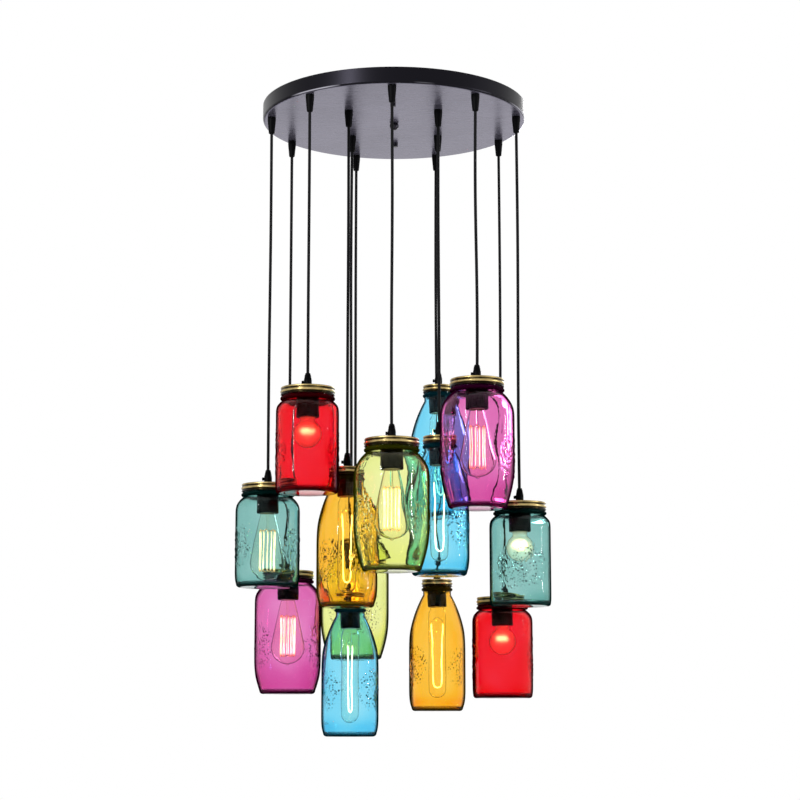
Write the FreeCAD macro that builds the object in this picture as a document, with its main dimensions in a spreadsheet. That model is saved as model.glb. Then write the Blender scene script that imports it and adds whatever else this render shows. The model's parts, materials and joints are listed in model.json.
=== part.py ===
"""Jar cluster chandelier: a round ceiling canopy with two rings of glass jar pendants on cords.

The frame has its origin on the ceiling at the canopy's centre, +Z up and the front towards -Y.
Every pendant piece is drawn once about its own axis, with z = 0 at the top of the lid, and
placed under the canopy as many times as the chandelier has it. Lengths are in millimetres.
"""
import FreeCAD, Part
import Sketcher
import math
import os
import re
from FreeCAD import Placement, Rotation, Vector

# Driving dimensions: alias, value, meaning
DIMENSIONS = [
    ("outer_ring", 211, "radius of the outer ring of cords"),
    ("nest_depth", 4.5, "how far a bottle's shoulder tucks in beside a large jar's taper"),
    ("nest_drop", 80, "how much lower that bottle hangs than the large jar"),
    ("rim_margin", 14, "from the outer ring of cords to the canopy's edge"),
    ("canopy_height", 27, "depth of the canopy pan"),
    ("canopy_sheet", 1.2, "sheet metal of the canopy"),
    ("canopy_edge", 4, "outer radius of the canopy's lower edge"),
    ("crossbar_length", 262, "length of the ceiling crossbar"),
    ("crossbar_width", 25, "width of the ceiling crossbar"),
    ("crossbar_thick", 3, "thickness of the ceiling crossbar"),
    ("ceiling_spacing", 89, "between the two ceiling screw slots"),
    ("ceiling_slot", 16, "end to end length of a ceiling screw slot"),
    ("ceiling_slot_width", 5.5, "width of a ceiling screw slot"),
    ("stud_margin", 12, "from a canopy stud to the crossbar's end"),
    ("stud_dia", 4, "canopy stud"),
    ("thumb_nut_dia", 9, "knurled nut under the canopy"),
    ("thumb_nut_height", 7, "knurled nut under the canopy"),
    ("ball_dia", 15.5, "ball nut at the canopy's centre"),
    ("thread_dia", 10, "threaded tube and shanks of the cord grips"),
    ("thread_bore", 6.4, "bore of the centre tube"),
    ("thread_fit", 0.15, "radial clearance of threaded pieces in their holes"),
    ("nut_height", 4, "thin hexagon nut"),
    ("nut_flats", 16, "across the flats of the large hexagon nuts"),
    ("stud_nut_flats", 7, "across the flats of the stud nuts"),
    ("cord_dia", 5, "round black cord"),
    ("cord_fit", 0.3, "radial clearance of the cord in its grips"),
    ("grip_length", 28, "canopy cord grip below the canopy"),
    ("grip_top_dia", 14, "canopy cord grip at the canopy"),
    ("grip_tip_dia", 10, "canopy cord grip at its tip"),
    ("grip_collar", 6, "straight collar of a cord grip"),
    ("bell_depth", 3, "depth of the flared mouth where the cord bends"),
    ("bell_flare", 1.2, "how much wider than the cord the mouth is"),
    ("tail_rise", 9.5, "height of the cord's bend above the canopy floor"),
    ("tail_bend", 8, "bend radius of the cord inside the canopy"),
    ("strip_offset", 30, "from the centre to each terminal strip"),
    ("strip_width", 18, "terminal strip"),
    ("strip_length", 98, "terminal strip"),
    ("strip_headroom", 4.5, "from the ceiling to the terminal strip's top"),
    ("strip_pitch", 13, "between the ways of a terminal strip"),
    ("strip_well_dia", 6, "screw well of a terminal way"),
    ("strip_well_depth", 7, "screw well of a terminal way"),
    ("wide_lid_dia", 86.5, "lid of the jars"),
    ("wide_lid_height", 12.8, "lid of the jars"),
    ("narrow_lid_dia", 53, "lid of the bottles"),
    ("narrow_lid_height", 12.4, "lid of the bottles"),
    ("lid_sheet", 0.8, "sheet metal of a lid"),
    ("lid_edge", 1.6, "rounded top edge of a lid"),
    ("lid_rim", 7, "width of the raised rim round a lid's panel"),
    ("lid_panel_drop", 1.2, "depth of the sunk panel in a lid's top"),
    ("lid_groove", 0.8, "depth of the groove round a lid's skirt"),
    ("lid_bead", 0.6, "how far the rolled lower edge stands out"),
    ("lid_fit", 0.35, "radial clearance of a jar's mouth in its lid"),
    ("seal_gap", 0.3, "between a jar's rim and its lid"),
    ("lid_grip_height", 24, "cord grip above a lid"),
    ("lid_grip_dia", 13, "cord grip at the lid"),
    ("lid_grip_tip_dia", 8.4, "cord grip at its top"),
    ("lid_grip_shank", 7, "shank of the lid's cord grip inside the lamp holder"),
    ("grip_screw_height", 9, "height of the grip screw above the lid"),
    ("grip_screw_dia", 3, "grip screw"),
    ("grip_screw_head_dia", 5.4, "grip screw's thumb head"),
    ("grip_screw_head", 3.5, "length of the thumb head"),
    ("holder_depth", 48, "lower end of the lamp holder below the lid's top"),
    ("wide_holder_dia", 37, "lamp holder in a jar"),
    ("narrow_holder_dia", 33, "lamp holder in a bottle"),
    ("holder_round", 4, "rounded top of a lamp holder"),
    ("holder_roof", 8, "thickness of a lamp holder's top"),
    ("socket_depth", 27, "depth of the lamp socket"),
    ("chamber_dia", 18, "wiring chamber above the socket"),
    ("contact_height", 7, "contact block of a lamp holder"),
    ("contact_dia", 5, "centre contact of a lamp holder"),
    ("contact_length", 1, "centre contact of a lamp holder"),
    ("inner_fit", 0.3, "clearance of pieces inside a lamp holder or lamp"),
    ("cap_dia", 26.5, "screw cap of a lamp"),
    ("cap_height", 22, "screw cap of a lamp"),
    ("cap_sheet", 0.8, "metal of the screw cap"),
    ("cap_cone", 3, "insulator on top of the screw cap"),
    ("cap_tip_dia", 10, "lamp's own centre contact"),
    ("bulb_wall", 1, "glass of a lamp"),
    ("pear_dia", 58, "pear lamp"),
    ("pear_length", 113, "pear lamp below its holder"),
    ("pear_taper", 12.5, "half angle of the pear lamp's cone, degrees"),
    ("tube_dia", 30, "tubular lamp"),
    ("tube_length", 159, "tubular lamp below its holder"),
    ("globe_dia", 45, "round lamp"),
    ("globe_length", 49, "round lamp below its holder"),
    ("wire_dia", 0.9, "filament strand"),
    ("stem_dia", 4.5, "glass stem that carries the filament"),
    ("pear_cage_dia", 17, "circle of the pear lamp's strands"),
    ("pear_cage_top", 28, "top of those strands below the holder"),
    ("pear_cage_length", 62, "length of those strands"),
    ("tube_cage_dia", 8, "spread of the tubular lamp's hairpin"),
    ("tube_cage_top", 28, "top of the hairpin below the holder"),
    ("tube_cage_length", 108, "length of the hairpin"),
    ("globe_cage_dia", 14, "circle of the round lamp's strands"),
    ("globe_cage_top", 15, "top of those strands below the holder"),
    ("globe_cage_length", 16, "length of those strands"),
    ("cage_disc", 1.4, "thickness of the discs that hold the strands"),
    ("glass_wall", 3, "wall of the jars and bottles"),
    ("base_glass", 4, "glass under a jar"),
    ("punt_height", 2, "hollow under a jar's base"),
    ("foot_width", 5, "standing ring round that hollow"),
    ("heel_radius", 6, "rounded lower corner of a jar"),
    ("bead_gap", 5.2, "from a lid's lower edge to the glass bead's centre"),
    ("bead_half", 2.4, "half the height of the glass bead"),
    ("bead_ledge", 1.2, "ledge of the glass bead"),
    ("bead_radius", 2.7, "radius of the glass bead"),
    ("section_margin", 1, "how much rounder the turned form is than the square section"),
    ("short_flats", 100, "short jar across its flats"),
    ("short_corners", 107, "short jar across its corners"),
    ("short_room", 73, "short jar from its lamp to its base"),
    ("short_neck_inset", 1.5, "short jar's neck inside its mouth's radius"),
    ("short_neck", 1, "short jar's straight neck"),
    ("short_shoulder", 28, "height of the short jar's shoulder"),
    ("short_taper", 20, "height of the short jar's lower taper"),
    ("short_taper_inset", 3.5, "how much that taper draws in"),
    ("large_flats", 112, "large jar across its flats"),
    ("large_corners", 120, "large jar across its corners"),
    ("large_room", 47, "large jar from its lamp to its base"),
    ("large_neck_inset", 1.5, "large jar's neck inside its mouth's radius"),
    ("large_neck", 1, "large jar's straight neck"),
    ("large_shoulder", 44, "height of the large jar's shoulder"),
    ("large_taper", 80, "height of the large jar's lower taper"),
    ("large_taper_inset", 13.5, "how much that taper draws in"),
    ("bottle_flats", 96, "bottle across its flats"),
    ("bottle_corners", 100, "bottle across its corners"),
    ("bottle_room", 21, "bottle from its lamp to its base"),
    ("bottle_neck_inset", 0.2, "bottle's neck inside its mouth's radius"),
    ("bottle_neck", 7, "bottle's straight neck"),
    ("bottle_shoulder", 102, "height of the bottle's shoulder"),
    ("bottle_taper", 34, "height of the bottle's lower taper"),
    ("bottle_taper_inset", 6, "how much that taper draws in"),
]

# Each kind of vessel with its lid, lamp holder and lamp
VESSELS = {
    "short": ("wide", "globe"),
    "large": ("wide", "pear"),
    "bottle": ("narrow", "tube"),
}
LAMP_STRANDS = {"pear": 8, "tube": 2, "globe": 4}
OUTER_PLACES = 9
INNER_PLACES = 4
NEST_ANGLE = 45.0 - 360.0 / OUTER_PLACES

# Name, ring, angle from the front, vessel, lamp, drop of the lid's top below the canopy, jar's turn
OUTER_STEP = 360 / OUTER_PLACES
PENDANTS = [
    ("green_front", "outer", 0 * OUTER_STEP, "large", "pear", 577, 45),
    ("magenta_right", "outer", 1 * OUTER_STEP, "large", "pear", 474, 33),
    ("teal_right", "outer", 2 * OUTER_STEP, "short", "globe", 659, 0),
    ("red_right", "outer", 3 * OUTER_STEP, "short", "globe", 806, 8),
    ("amber_back", "outer", 4 * OUTER_STEP, "bottle", "tube", 769, 20),
    ("green_back", "outer", -4 * OUTER_STEP, "large", "pear", 700, 40),
    ("magenta_left", "outer", -3 * OUTER_STEP, "large", "pear", 761, 0),
    ("teal_left", "outer", -2 * OUTER_STEP, "short", "pear", 628, 40),
    ("red_left", "outer", -1 * OUTER_STEP, "short", "globe", 487, 0),
    ("amber_inner", "inner", -45, "bottle", "tube", 605, 40),
    ("blue_front", "inner", 45, "bottle", "tube", None, 10),
    ("blue_back", "inner", 135, "bottle", "tube", 445, 25),
    ("blue_low", "inner", -135, "bottle", "tube", 812, 0),
]
NESTED_UNDER = {"blue_front": "magenta_right"}

# Where each cord meets its terminal strip: side of the centre, way counted from the front
FRONT_END = None
STRIP_WAYS = {
    "green_front": (1, FRONT_END),
    "magenta_right": (1, 0),
    "blue_front": (1, 1),
    "teal_right": (1, 3),
    "red_right": (1, 4),
    "blue_back": (1, 5),
    "amber_back": (1, 6),
    "red_left": (-1, 0),
    "amber_inner": (-1, 1),
    "teal_left": (-1, 3),
    "magenta_left": (-1, 4),
    "blue_low": (-1, 5),
    "green_back": (-1, 6),
}
STRIP_WAY_COUNT = 7

doc = FreeCAD.newDocument("jar_chandelier")
sheet = doc.addObject("Spreadsheet::Sheet", "dims")


def fill_sheet():
    """Puts the driving dimensions and each pendant's drop and turn into the sheet."""
    rows = list(DIMENSIONS)
    for name, ring, angle, vessel, lamp, drop, turn in PENDANTS:
        if name not in NESTED_UNDER:
            rows.append(("drop_" + name, drop, "lid's top below the canopy"))
        rows.append(("turn_" + name, turn, "turn of the jar about its axis, degrees"))
    for row, (alias, value, meaning) in enumerate(rows, start=1):
        sheet.set(f"A{row}", meaning)
        sheet.set(f"B{row}", str(value))
        sheet.setAlias(f"B{row}", alias)
    doc.recompute()
    return {alias for alias, value, meaning in rows}


ALIASES = fill_sheet()


def bound(expression):
    """An expression in the sheet's aliases, with the sheet's name put before each alias."""
    def with_sheet(word):
        return "dims." + word.group() if word.group() in ALIASES else word.group()
    return re.sub(r"[a-z_]+", with_sheet, str(expression))


def value_of(expression):
    """The present value of such an expression, as a plain number."""
    result = sheet.evalExpression(bound(expression))
    return float(getattr(result, "Value", result))


# Expressions that several pieces share
CANOPY_RADIUS = "(outer_ring + rim_margin)"
UNDERSIDE = "(-canopy_height)"
FLOOR = "(canopy_sheet - canopy_height)"
CORD_HOLE = "(cord_dia/2 + cord_fit)"
THREAD_HOLE = "(thread_dia/2 + thread_fit)"
STUD_HOLE = "(stud_dia/2 + thread_fit)"
STUD_OFFSET = "(crossbar_length/2 - stud_margin)"
PIVOT_DEPTH = "(grip_length - bell_depth)"
NEST_SPACING = "(large_corners/2 + bottle_corners/2 - nest_depth)"
INNER_RING = (
    f"(outer_ring*cos({NEST_ANGLE}deg)"
    f" - sqrt({NEST_SPACING}^2 - (outer_ring*sin({NEST_ANGLE}deg))^2))"
)
RING = {"outer": "outer_ring", "inner": INNER_RING}
LID_UNDERSIDE = "(lid_panel_drop + lid_sheet)"
SOCKET_FLOOR = "(socket_depth - holder_depth)"


def drop_of(name):
    """Expression for how far below the canopy a pendant's lid hangs."""
    if name in NESTED_UNDER:
        return f"(drop_{NESTED_UNDER[name]} + nest_drop)"
    return f"drop_{name}"


def new_body(name):
    body = doc.addObject("PartDesign::Body", name)
    body.Label = name
    return body


def new_sketch(body, name, plane):
    """A sketch on one of the body's own origin planes."""
    sketch = body.newObject("Sketcher::SketchObject", name)
    support = [item for item in body.Origin.OriginFeatures if item.Role == plane][0]
    sketch.AttachmentSupport = (support, "")
    sketch.MapMode = "FlatFace"
    return sketch


def bind_point(sketch, geometry, position, label, across, up):
    """Ties a sketch point to two expressions, one for each sketch axis."""
    for kind, letter, expression in (("DistanceX", "x", across), ("DistanceY", "y", up)):
        row = sketch.addConstraint(
            Sketcher.Constraint(kind, -1, 1, geometry, position, value_of(expression)))
        sketch.renameConstraint(row, letter + label)
        sketch.setExpression(f"Constraints.{letter}{label}", bound(expression))


def draw_outline(sketch, corners):
    """Draws a closed outline through corners (across, up), each tied to its expressions.

    A corner may add a radius and a turn: the stretch to the next corner is then an arc of that
    radius, turning left for +1 and right for -1.
    """
    points = [Vector(value_of(corner[0]), value_of(corner[1]), 0) for corner in corners]
    starts = []
    ends = []
    for index, corner in enumerate(corners):
        begin = points[index]
        finish = points[(index + 1) % len(points)]
        if len(corner) == 2:
            geometry = sketch.addGeometry(Part.LineSegment(begin, finish), False)
            starts.append((geometry, 1))
            ends.append((geometry, 2))
            continue
        radius = value_of(corner[2])
        left_turn = corner[3] > 0
        along = finish - begin
        left = Vector(-along.y, along.x, 0).normalize()
        reach = math.sqrt(max(radius ** 2 - (along.Length / 2) ** 2, 0))
        centre = begin + along * 0.5 + left * (reach if left_turn else -reach)
        first, last = (begin, finish) if left_turn else (finish, begin)
        from_angle = math.atan2(first.y - centre.y, first.x - centre.x)
        to_angle = math.atan2(last.y - centre.y, last.x - centre.x)
        if to_angle < from_angle:
            to_angle += 2 * math.pi
        circle = Part.Circle(centre, Vector(0, 0, 1), radius)
        geometry = sketch.addGeometry(Part.ArcOfCircle(circle, from_angle, to_angle), False)
        starts.append((geometry, 1 if left_turn else 2))
        ends.append((geometry, 2 if left_turn else 1))
        row = sketch.addConstraint(Sketcher.Constraint("Radius", geometry, radius))
        sketch.renameConstraint(row, f"radius{index}")
        sketch.setExpression(f"Constraints.radius{index}", bound(corner[2]))
    for index, corner in enumerate(corners):
        sketch.addConstraint(Sketcher.Constraint("Coincident", *ends[index - 1], *starts[index]))
        bind_point(sketch, *starts[index], str(index), corner[0], corner[1])


def draw_circle(sketch, across, up, diameter):
    """Draws a circle whose centre and diameter are tied to expressions."""
    count = sketch.GeometryCount
    centre = Vector(value_of(across), value_of(up), 0)
    circle = Part.Circle(centre, Vector(0, 0, 1), value_of(diameter) / 2)
    geometry = sketch.addGeometry(circle, False)
    bind_point(sketch, geometry, 3, f"c{count}", across, up)
    row = sketch.addConstraint(Sketcher.Constraint("Diameter", geometry, value_of(diameter)))
    sketch.renameConstraint(row, f"hole{count}")
    sketch.setExpression(f"Constraints.hole{count}", bound(diameter))


def turned(name, corners):
    """A body turned about the Z axis from an outline of (radius, height) corners."""
    body = new_body(name)
    sketch = new_sketch(body, name + "_profile", "XZ_Plane")
    draw_outline(sketch, corners)
    turn = body.newObject("PartDesign::Revolution", name + "_turn")
    turn.Profile = sketch
    turn.ReferenceAxis = (sketch, ["V_Axis"])
    turn.Angle = 360
    return body


def pad(body, sketch, length, base):
    """Pads a sketch upwards by an expression, from the height given by another."""
    sketch.setExpression("AttachmentOffset.Base.z", bound(base))
    feature = body.newObject("PartDesign::Pad", sketch.Name + "_pad")
    feature.Profile = sketch
    feature.setExpression("Length", bound(length))
    return feature


def cut_through(body, sketch):
    """Cuts a sketch on the body's XY plane down through everything below it."""
    feature = body.newObject("PartDesign::Pocket", sketch.Name + "_cut")
    feature.Profile = sketch
    feature.Type = "ThroughAll"
    return feature


def polar(body, feature, count):
    """Repeats a feature about the Z axis and makes the result the body's shape."""
    pattern = body.newObject("PartDesign::PolarPattern", feature.Name + "_ring")
    pattern.Originals = [feature]
    axis = [item for item in body.Origin.OriginFeatures if item.Role == "Z_Axis"][0]
    pattern.Axis = (axis, [""])
    pattern.Angle = 360
    pattern.Occurrences = count
    body.Tip = pattern
    return pattern


def cylinder(name, diameter, length, base):
    """A plain cylinder on the Z axis."""
    item = doc.addObject("Part::Cylinder", name)
    item.setExpression("Radius", bound(f"({diameter})/2"))
    item.setExpression("Height", bound(length))
    item.setExpression("Placement.Base.z", bound(base))
    return item


def boolean(kind, name, base, tool):
    item = doc.addObject("Part::" + kind, name)
    item.Base = base
    item.Tool = tool
    return item


def hexagon_nut(name, flats, hole, height, base):
    """A hexagon nut on the Z axis with a plain hole."""
    body = new_body(name)
    sketch = new_sketch(body, name + "_outline", "XY_Plane")
    corners = []
    for step in range(6):
        reach = f"({flats})/2/cos(30deg)"
        corners.append((f"{reach}*cos({60 * step}deg)", f"{reach}*sin({60 * step}deg)"))
    draw_outline(sketch, corners)
    draw_circle(sketch, 0, 0, f"2*{hole}")
    pad(body, sketch, height, base)
    return body


def canopy_pan():
    """Round pan of sheet metal, open upwards, with its row of cord holes."""
    inner_edge = "(canopy_edge - canopy_sheet)"
    body = turned("canopy_pan", [
        (0, UNDERSIDE),
        (f"{CANOPY_RADIUS} - canopy_edge", UNDERSIDE, "canopy_edge", 1),
        (CANOPY_RADIUS, f"{UNDERSIDE} + canopy_edge"),
        (CANOPY_RADIUS, 0),
        (f"{CANOPY_RADIUS} - canopy_sheet", 0),
        (f"{CANOPY_RADIUS} - canopy_sheet", f"{UNDERSIDE} + canopy_edge", inner_edge, -1),
        (f"{CANOPY_RADIUS} - canopy_edge", FLOOR),
        (0, FLOOR),
    ])
    centre = new_sketch(body, "centre_holes", "XY_Plane")
    draw_circle(centre, 0, 0, f"2*{THREAD_HOLE}")
    draw_circle(centre, 0, STUD_OFFSET, f"2*{STUD_HOLE}")
    draw_circle(centre, 0, f"-{STUD_OFFSET}", f"2*{STUD_HOLE}")
    cut_through(body, centre)
    outer = new_sketch(body, "outer_hole", "XY_Plane")
    draw_circle(outer, 0, "-outer_ring", f"2*{THREAD_HOLE}")
    polar(body, cut_through(body, outer), OUTER_PLACES)
    inner = new_sketch(body, "inner_hole", "XY_Plane")
    draw_circle(inner, f"{INNER_RING}*sin(45deg)", f"-{INNER_RING}*cos(45deg)", f"2*{THREAD_HOLE}")
    polar(body, cut_through(body, inner), INNER_PLACES)
    return body


def slot_corners(middle):
    """Corners of a ceiling screw slot along Y, round at both ends."""
    half = "ceiling_slot_width/2"
    straight = "(ceiling_slot - ceiling_slot_width)/2"
    return [
        (half, f"{middle} - {straight}"),
        (half, f"{middle} + {straight}", half, 1),
        (0, f"{middle} + ceiling_slot/2", half, 1),
        (f"-{half}", f"{middle} + {straight}"),
        (f"-{half}", f"{middle} - {straight}", half, 1),
        (0, f"{middle} - ceiling_slot/2", half, 1),
    ]


def mounting_crossbar():
    """Flat steel bar that is screwed to the ceiling and carries the canopy."""
    body = new_body("mounting_crossbar")
    outline = new_sketch(body, "crossbar_outline", "XY_Plane")
    draw_outline(outline, [
        ("crossbar_width/2", "-crossbar_length/2"),
        ("crossbar_width/2", "crossbar_length/2"),
        ("-crossbar_width/2", "crossbar_length/2"),
        ("-crossbar_width/2", "-crossbar_length/2"),
    ])
    pad(body, outline, "crossbar_thick", "-crossbar_thick")
    holes = new_sketch(body, "crossbar_holes", "XY_Plane")
    draw_circle(holes, 0, 0, f"2*{THREAD_HOLE}")
    draw_circle(holes, 0, STUD_OFFSET, f"2*{STUD_HOLE}")
    draw_circle(holes, 0, f"-{STUD_OFFSET}", f"2*{STUD_HOLE}")
    cut_through(body, holes)
    for side, middle in (("front", "-ceiling_spacing/2"), ("back", "ceiling_spacing/2")):
        slot = new_sketch(body, side + "_slot", "XY_Plane")
        draw_outline(slot, slot_corners(middle))
        cut_through(body, slot)
    return body


def hanger_studs():
    """Hollow centre tube and two studs, each with its nut under the crossbar."""
    reach = "(canopy_height + thumb_nut_height - 1)"
    tube_outside = cylinder("tube_outside", "thread_dia", reach, f"-{reach}")
    tube_bore = cylinder("tube_bore", "thread_bore", f"{reach} + 2", f"-{reach} - 1")
    pieces = [boolean("Cut", "centre_tube", tube_outside, tube_bore)]
    under_bar = "-crossbar_thick - nut_height"
    pieces.append(hexagon_nut("centre_nut", "nut_flats", THREAD_HOLE, "nut_height", under_bar))
    stud_nut = hexagon_nut("stud_nut", "stud_nut_flats", STUD_HOLE, "nut_height", under_bar)
    for side, sign in (("front", "-"), ("back", "")):
        stud = cylinder(side + "_stud", "stud_dia", reach, f"-{reach}")
        stud.setExpression("Placement.Base.y", bound(sign + STUD_OFFSET))
        nut = compound(side + "_stud_nut", [stud_nut])
        nut.setExpression("Placement.Base.y", bound(sign + STUD_OFFSET))
        pieces += [stud, nut]
    return compound("hanger_studs", pieces)


def ball_nut():
    """Ball nut that closes the canopy's centre hole, flat where it meets the canopy."""
    seat = "thread_dia/2 + 1.6"
    centre = f"({UNDERSIDE} - sqrt((ball_dia/2)^2 - ({seat})^2))"
    thread_end = f"({UNDERSIDE} - thumb_nut_height)"
    return turned("ball_nut", [
        (THREAD_HOLE, UNDERSIDE),
        (THREAD_HOLE, thread_end),
        (0, thread_end),
        (0, f"{centre} - ball_dia/2", "ball_dia/2", 1),
        ("ball_dia/2", centre, "ball_dia/2", 1),
        (seat, UNDERSIDE),
    ])


def thumb_nuts():
    """Two small capped nuts that hold the canopy up to the crossbar."""
    edge = "thumb_nut_dia/10"
    nut = turned("thumb_nut", [
        (STUD_HOLE, 0),
        (STUD_HOLE, "-thumb_nut_height + 1"),
        (0, "-thumb_nut_height + 1"),
        (0, "-thumb_nut_height"),
        (f"thumb_nut_dia/2 - {edge}", "-thumb_nut_height", edge, 1),
        ("thumb_nut_dia/2", f"-thumb_nut_height + {edge}"),
        ("thumb_nut_dia/2", 0),
    ])
    copies = []
    for side, sign in (("front", "-"), ("back", "")):
        copy = compound(side + "_thumb_nut", [nut])
        copy.setExpression("Placement.Base.y", bound(sign + STUD_OFFSET))
        copy.setExpression("Placement.Base.z", bound(UNDERSIDE))
        copies.append(copy)
    return compound("thumb_nuts", copies)


def canopy_cord_grips():
    """One tapered grip below the canopy and its hexagon nut above, for every cord."""
    shank_top = "(canopy_sheet + nut_height + 1)"
    round_tip = "1"
    grip = turned("canopy_grip", [
        ("cord_dia/2 + bell_flare", "-grip_length"),
        (f"grip_tip_dia/2 - {round_tip}", "-grip_length", round_tip, 1),
        ("grip_tip_dia/2", f"-grip_length + {round_tip}"),
        ("grip_top_dia/2", "-grip_collar"),
        ("grip_top_dia/2", 0),
        ("thread_dia/2", 0),
        ("thread_dia/2", shank_top),
        (CORD_HOLE, shank_top),
        (CORD_HOLE, f"-{PIVOT_DEPTH}"),
    ])
    nut = hexagon_nut("grip_nut", "nut_flats", THREAD_HOLE, "nut_height", "canopy_sheet")
    copies = []
    for name, ring, angle, vessel, lamp, drop, turn in PENDANTS:
        copy = compound("canopy_grip_" + name, [grip, nut])
        put_on_ring(copy, ring, angle, UNDERSIDE)
        copies.append(copy)
    return compound("canopy_cord_grips", copies)


def terminal_strips():
    """Two strips of screw terminals on the canopy's floor."""
    body = new_body("terminal_strip")
    outline = new_sketch(body, "strip_outline", "XY_Plane")
    draw_outline(outline, [
        ("strip_width/2", "-strip_length/2"),
        ("strip_width/2", "strip_length/2"),
        ("-strip_width/2", "strip_length/2"),
        ("-strip_width/2", "-strip_length/2"),
    ])
    pad(body, outline, f"-strip_headroom - {FLOOR}", FLOOR)
    wells = new_sketch(body, "strip_wells", "XY_Plane")
    for way in range(STRIP_WAY_COUNT):
        for side in ("-", ""):
            along = f"strip_pitch*({way - STRIP_WAY_COUNT // 2})"
            draw_circle(wells, f"{side}strip_width/4", along, "strip_well_dia")
    wells.setExpression("AttachmentOffset.Base.z", bound("-strip_headroom"))
    cut = body.newObject("PartDesign::Pocket", "strip_wells_cut")
    cut.Profile = wells
    cut.setExpression("Length", bound("strip_well_depth"))
    copies = []
    for side, sign in (("left", "-"), ("right", "")):
        copy = compound(side + "_terminal_strip", [body])
        copy.setExpression("Placement.Base.x", bound(f"{sign}strip_offset"))
        copies.append(copy)
    return compound("terminal_strips", copies)


def cord_tails():
    """The cords' upper ends: up through each grip, over in one bend and into a terminal strip."""
    radius = value_of("cord_dia/2")
    bend = value_of("tail_bend")
    level = value_of(f"{FLOOR} + tail_rise + tail_bend")
    start_height = value_of(f"{UNDERSIDE} - {PIVOT_DEPTH} + cord_dia/2 + cord_fit")
    tails = []
    for name, ring, angle, vessel, lamp, drop, turn in PENDANTS:
        reach = value_of(RING[ring])
        foot = Vector(reach * math.sin(math.radians(angle)), -reach * math.cos(math.radians(angle)), 0)
        side, way = STRIP_WAYS[name]
        if way is FRONT_END:
            face_point = Vector(side * value_of("strip_offset"), -value_of("strip_length/2"), 0)
            face_normal = Vector(0, -1, 0)
        else:
            across = side * value_of("strip_offset + strip_width/2")
            face_point = Vector(across, (way - STRIP_WAY_COUNT // 2) * value_of("strip_pitch"), 0)
            face_normal = Vector(side, 0, 0)
        inward = (face_point - foot).normalize()
        squareness = -inward.dot(face_normal)
        slant = inward.cross(face_normal).Length
        # The cord stops where the edge of its slanted end just clears the strip's face
        clearance = radius * slant + value_of("cord_fit")
        entry = face_point - inward * (clearance / squareness) + Vector(0, 0, level)
        below = foot + Vector(0, 0, start_height)
        bend_start = foot + Vector(0, 0, level - bend)
        bend_end = foot + inward * bend + Vector(0, 0, level)
        slope = math.sqrt(0.5)
        bend_middle = foot + inward * bend * (1 - slope) + Vector(0, 0, level - bend * (1 - slope))
        path = Part.Wire([
            Part.LineSegment(below, bend_start).toShape(),
            Part.Arc(bend_start, bend_middle, bend_end).toShape(),
            Part.LineSegment(bend_end, entry).toShape(),
        ])
        section = Part.Wire([Part.Circle(below, Vector(0, 0, 1), radius).toShape()])
        tails.append(path.makePipeShell([section], True, False))
    item = doc.addObject("Part::Feature", "cord_tails")
    item.Shape = Part.Compound(tails)
    return item


def lid(kind):
    """Sheet metal screw lid with a sunk panel, a grooved skirt and a rolled lower edge."""
    edge = f"{kind}_lid_dia/2"
    height = f"{kind}_lid_height"
    groove_half = f"{height}*0.12"
    groove_arc = f"(({groove_half})^2 + lid_groove^2)/(2*lid_groove)"
    bead_half = f"{height}*0.11"
    bead_arc = f"(({bead_half})^2 + lid_bead^2)/(2*lid_bead)"
    skirt_inside = f"{edge} - lid_groove - lid_sheet"
    return turned(f"{kind}_lid", [
        (THREAD_HOLE, "-lid_panel_drop"),
        (f"{edge} - lid_rim - lid_panel_drop", "-lid_panel_drop"),
        (f"{edge} - lid_rim", 0),
        (f"{edge} - lid_edge", 0, "lid_edge", -1),
        (edge, "-lid_edge"),
        (edge, f"-{height}*0.34", groove_arc, 1),
        (edge, f"-{height}*0.34 - 2*{groove_half}"),
        (edge, f"-{height} + 2*{bead_half}", bead_arc, -1),
        (edge, f"-{height}"),
        (skirt_inside, f"-{height}"),
        (skirt_inside, "-lid_sheet"),
        (f"{edge} - lid_rim + lid_sheet/3", "-lid_sheet"),
        (f"{edge} - lid_rim - lid_panel_drop + lid_sheet/3", f"-{LID_UNDERSIDE}"),
        (THREAD_HOLE, f"-{LID_UNDERSIDE}"),
    ])


def lamp_holder(kind):
    """Moulded lamp holder under a lid, with its socket below and wiring chamber above."""
    outside = f"{kind}_holder_dia/2"
    socket = "(cap_dia/2 + lid_fit)"
    roof = f"-{LID_UNDERSIDE} - holder_roof"
    return turned(f"{kind}_holder", [
        (THREAD_HOLE, f"-{LID_UNDERSIDE}"),
        (f"{outside} - holder_round", f"-{LID_UNDERSIDE}", "holder_round", -1),
        (outside, f"-{LID_UNDERSIDE} - holder_round"),
        (outside, "-holder_depth"),
        (socket, "-holder_depth"),
        (socket, SOCKET_FLOOR),
        ("chamber_dia/2", SOCKET_FLOOR),
        ("chamber_dia/2", roof),
        (THREAD_HOLE, roof),
    ])


def contact_block():
    """Insulating block with the centre contact, in the roof of the socket."""
    outside = "chamber_dia/2 - inner_fit"
    return turned("contact_block", [
        (0, f"{SOCKET_FLOOR} + contact_height"),
        (0, f"{SOCKET_FLOOR} - contact_length"),
        ("contact_dia/2", f"{SOCKET_FLOOR} - contact_length"),
        ("contact_dia/2", SOCKET_FLOOR),
        (outside, SOCKET_FLOOR),
        (outside, f"{SOCKET_FLOOR} + contact_height"),
    ])


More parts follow.
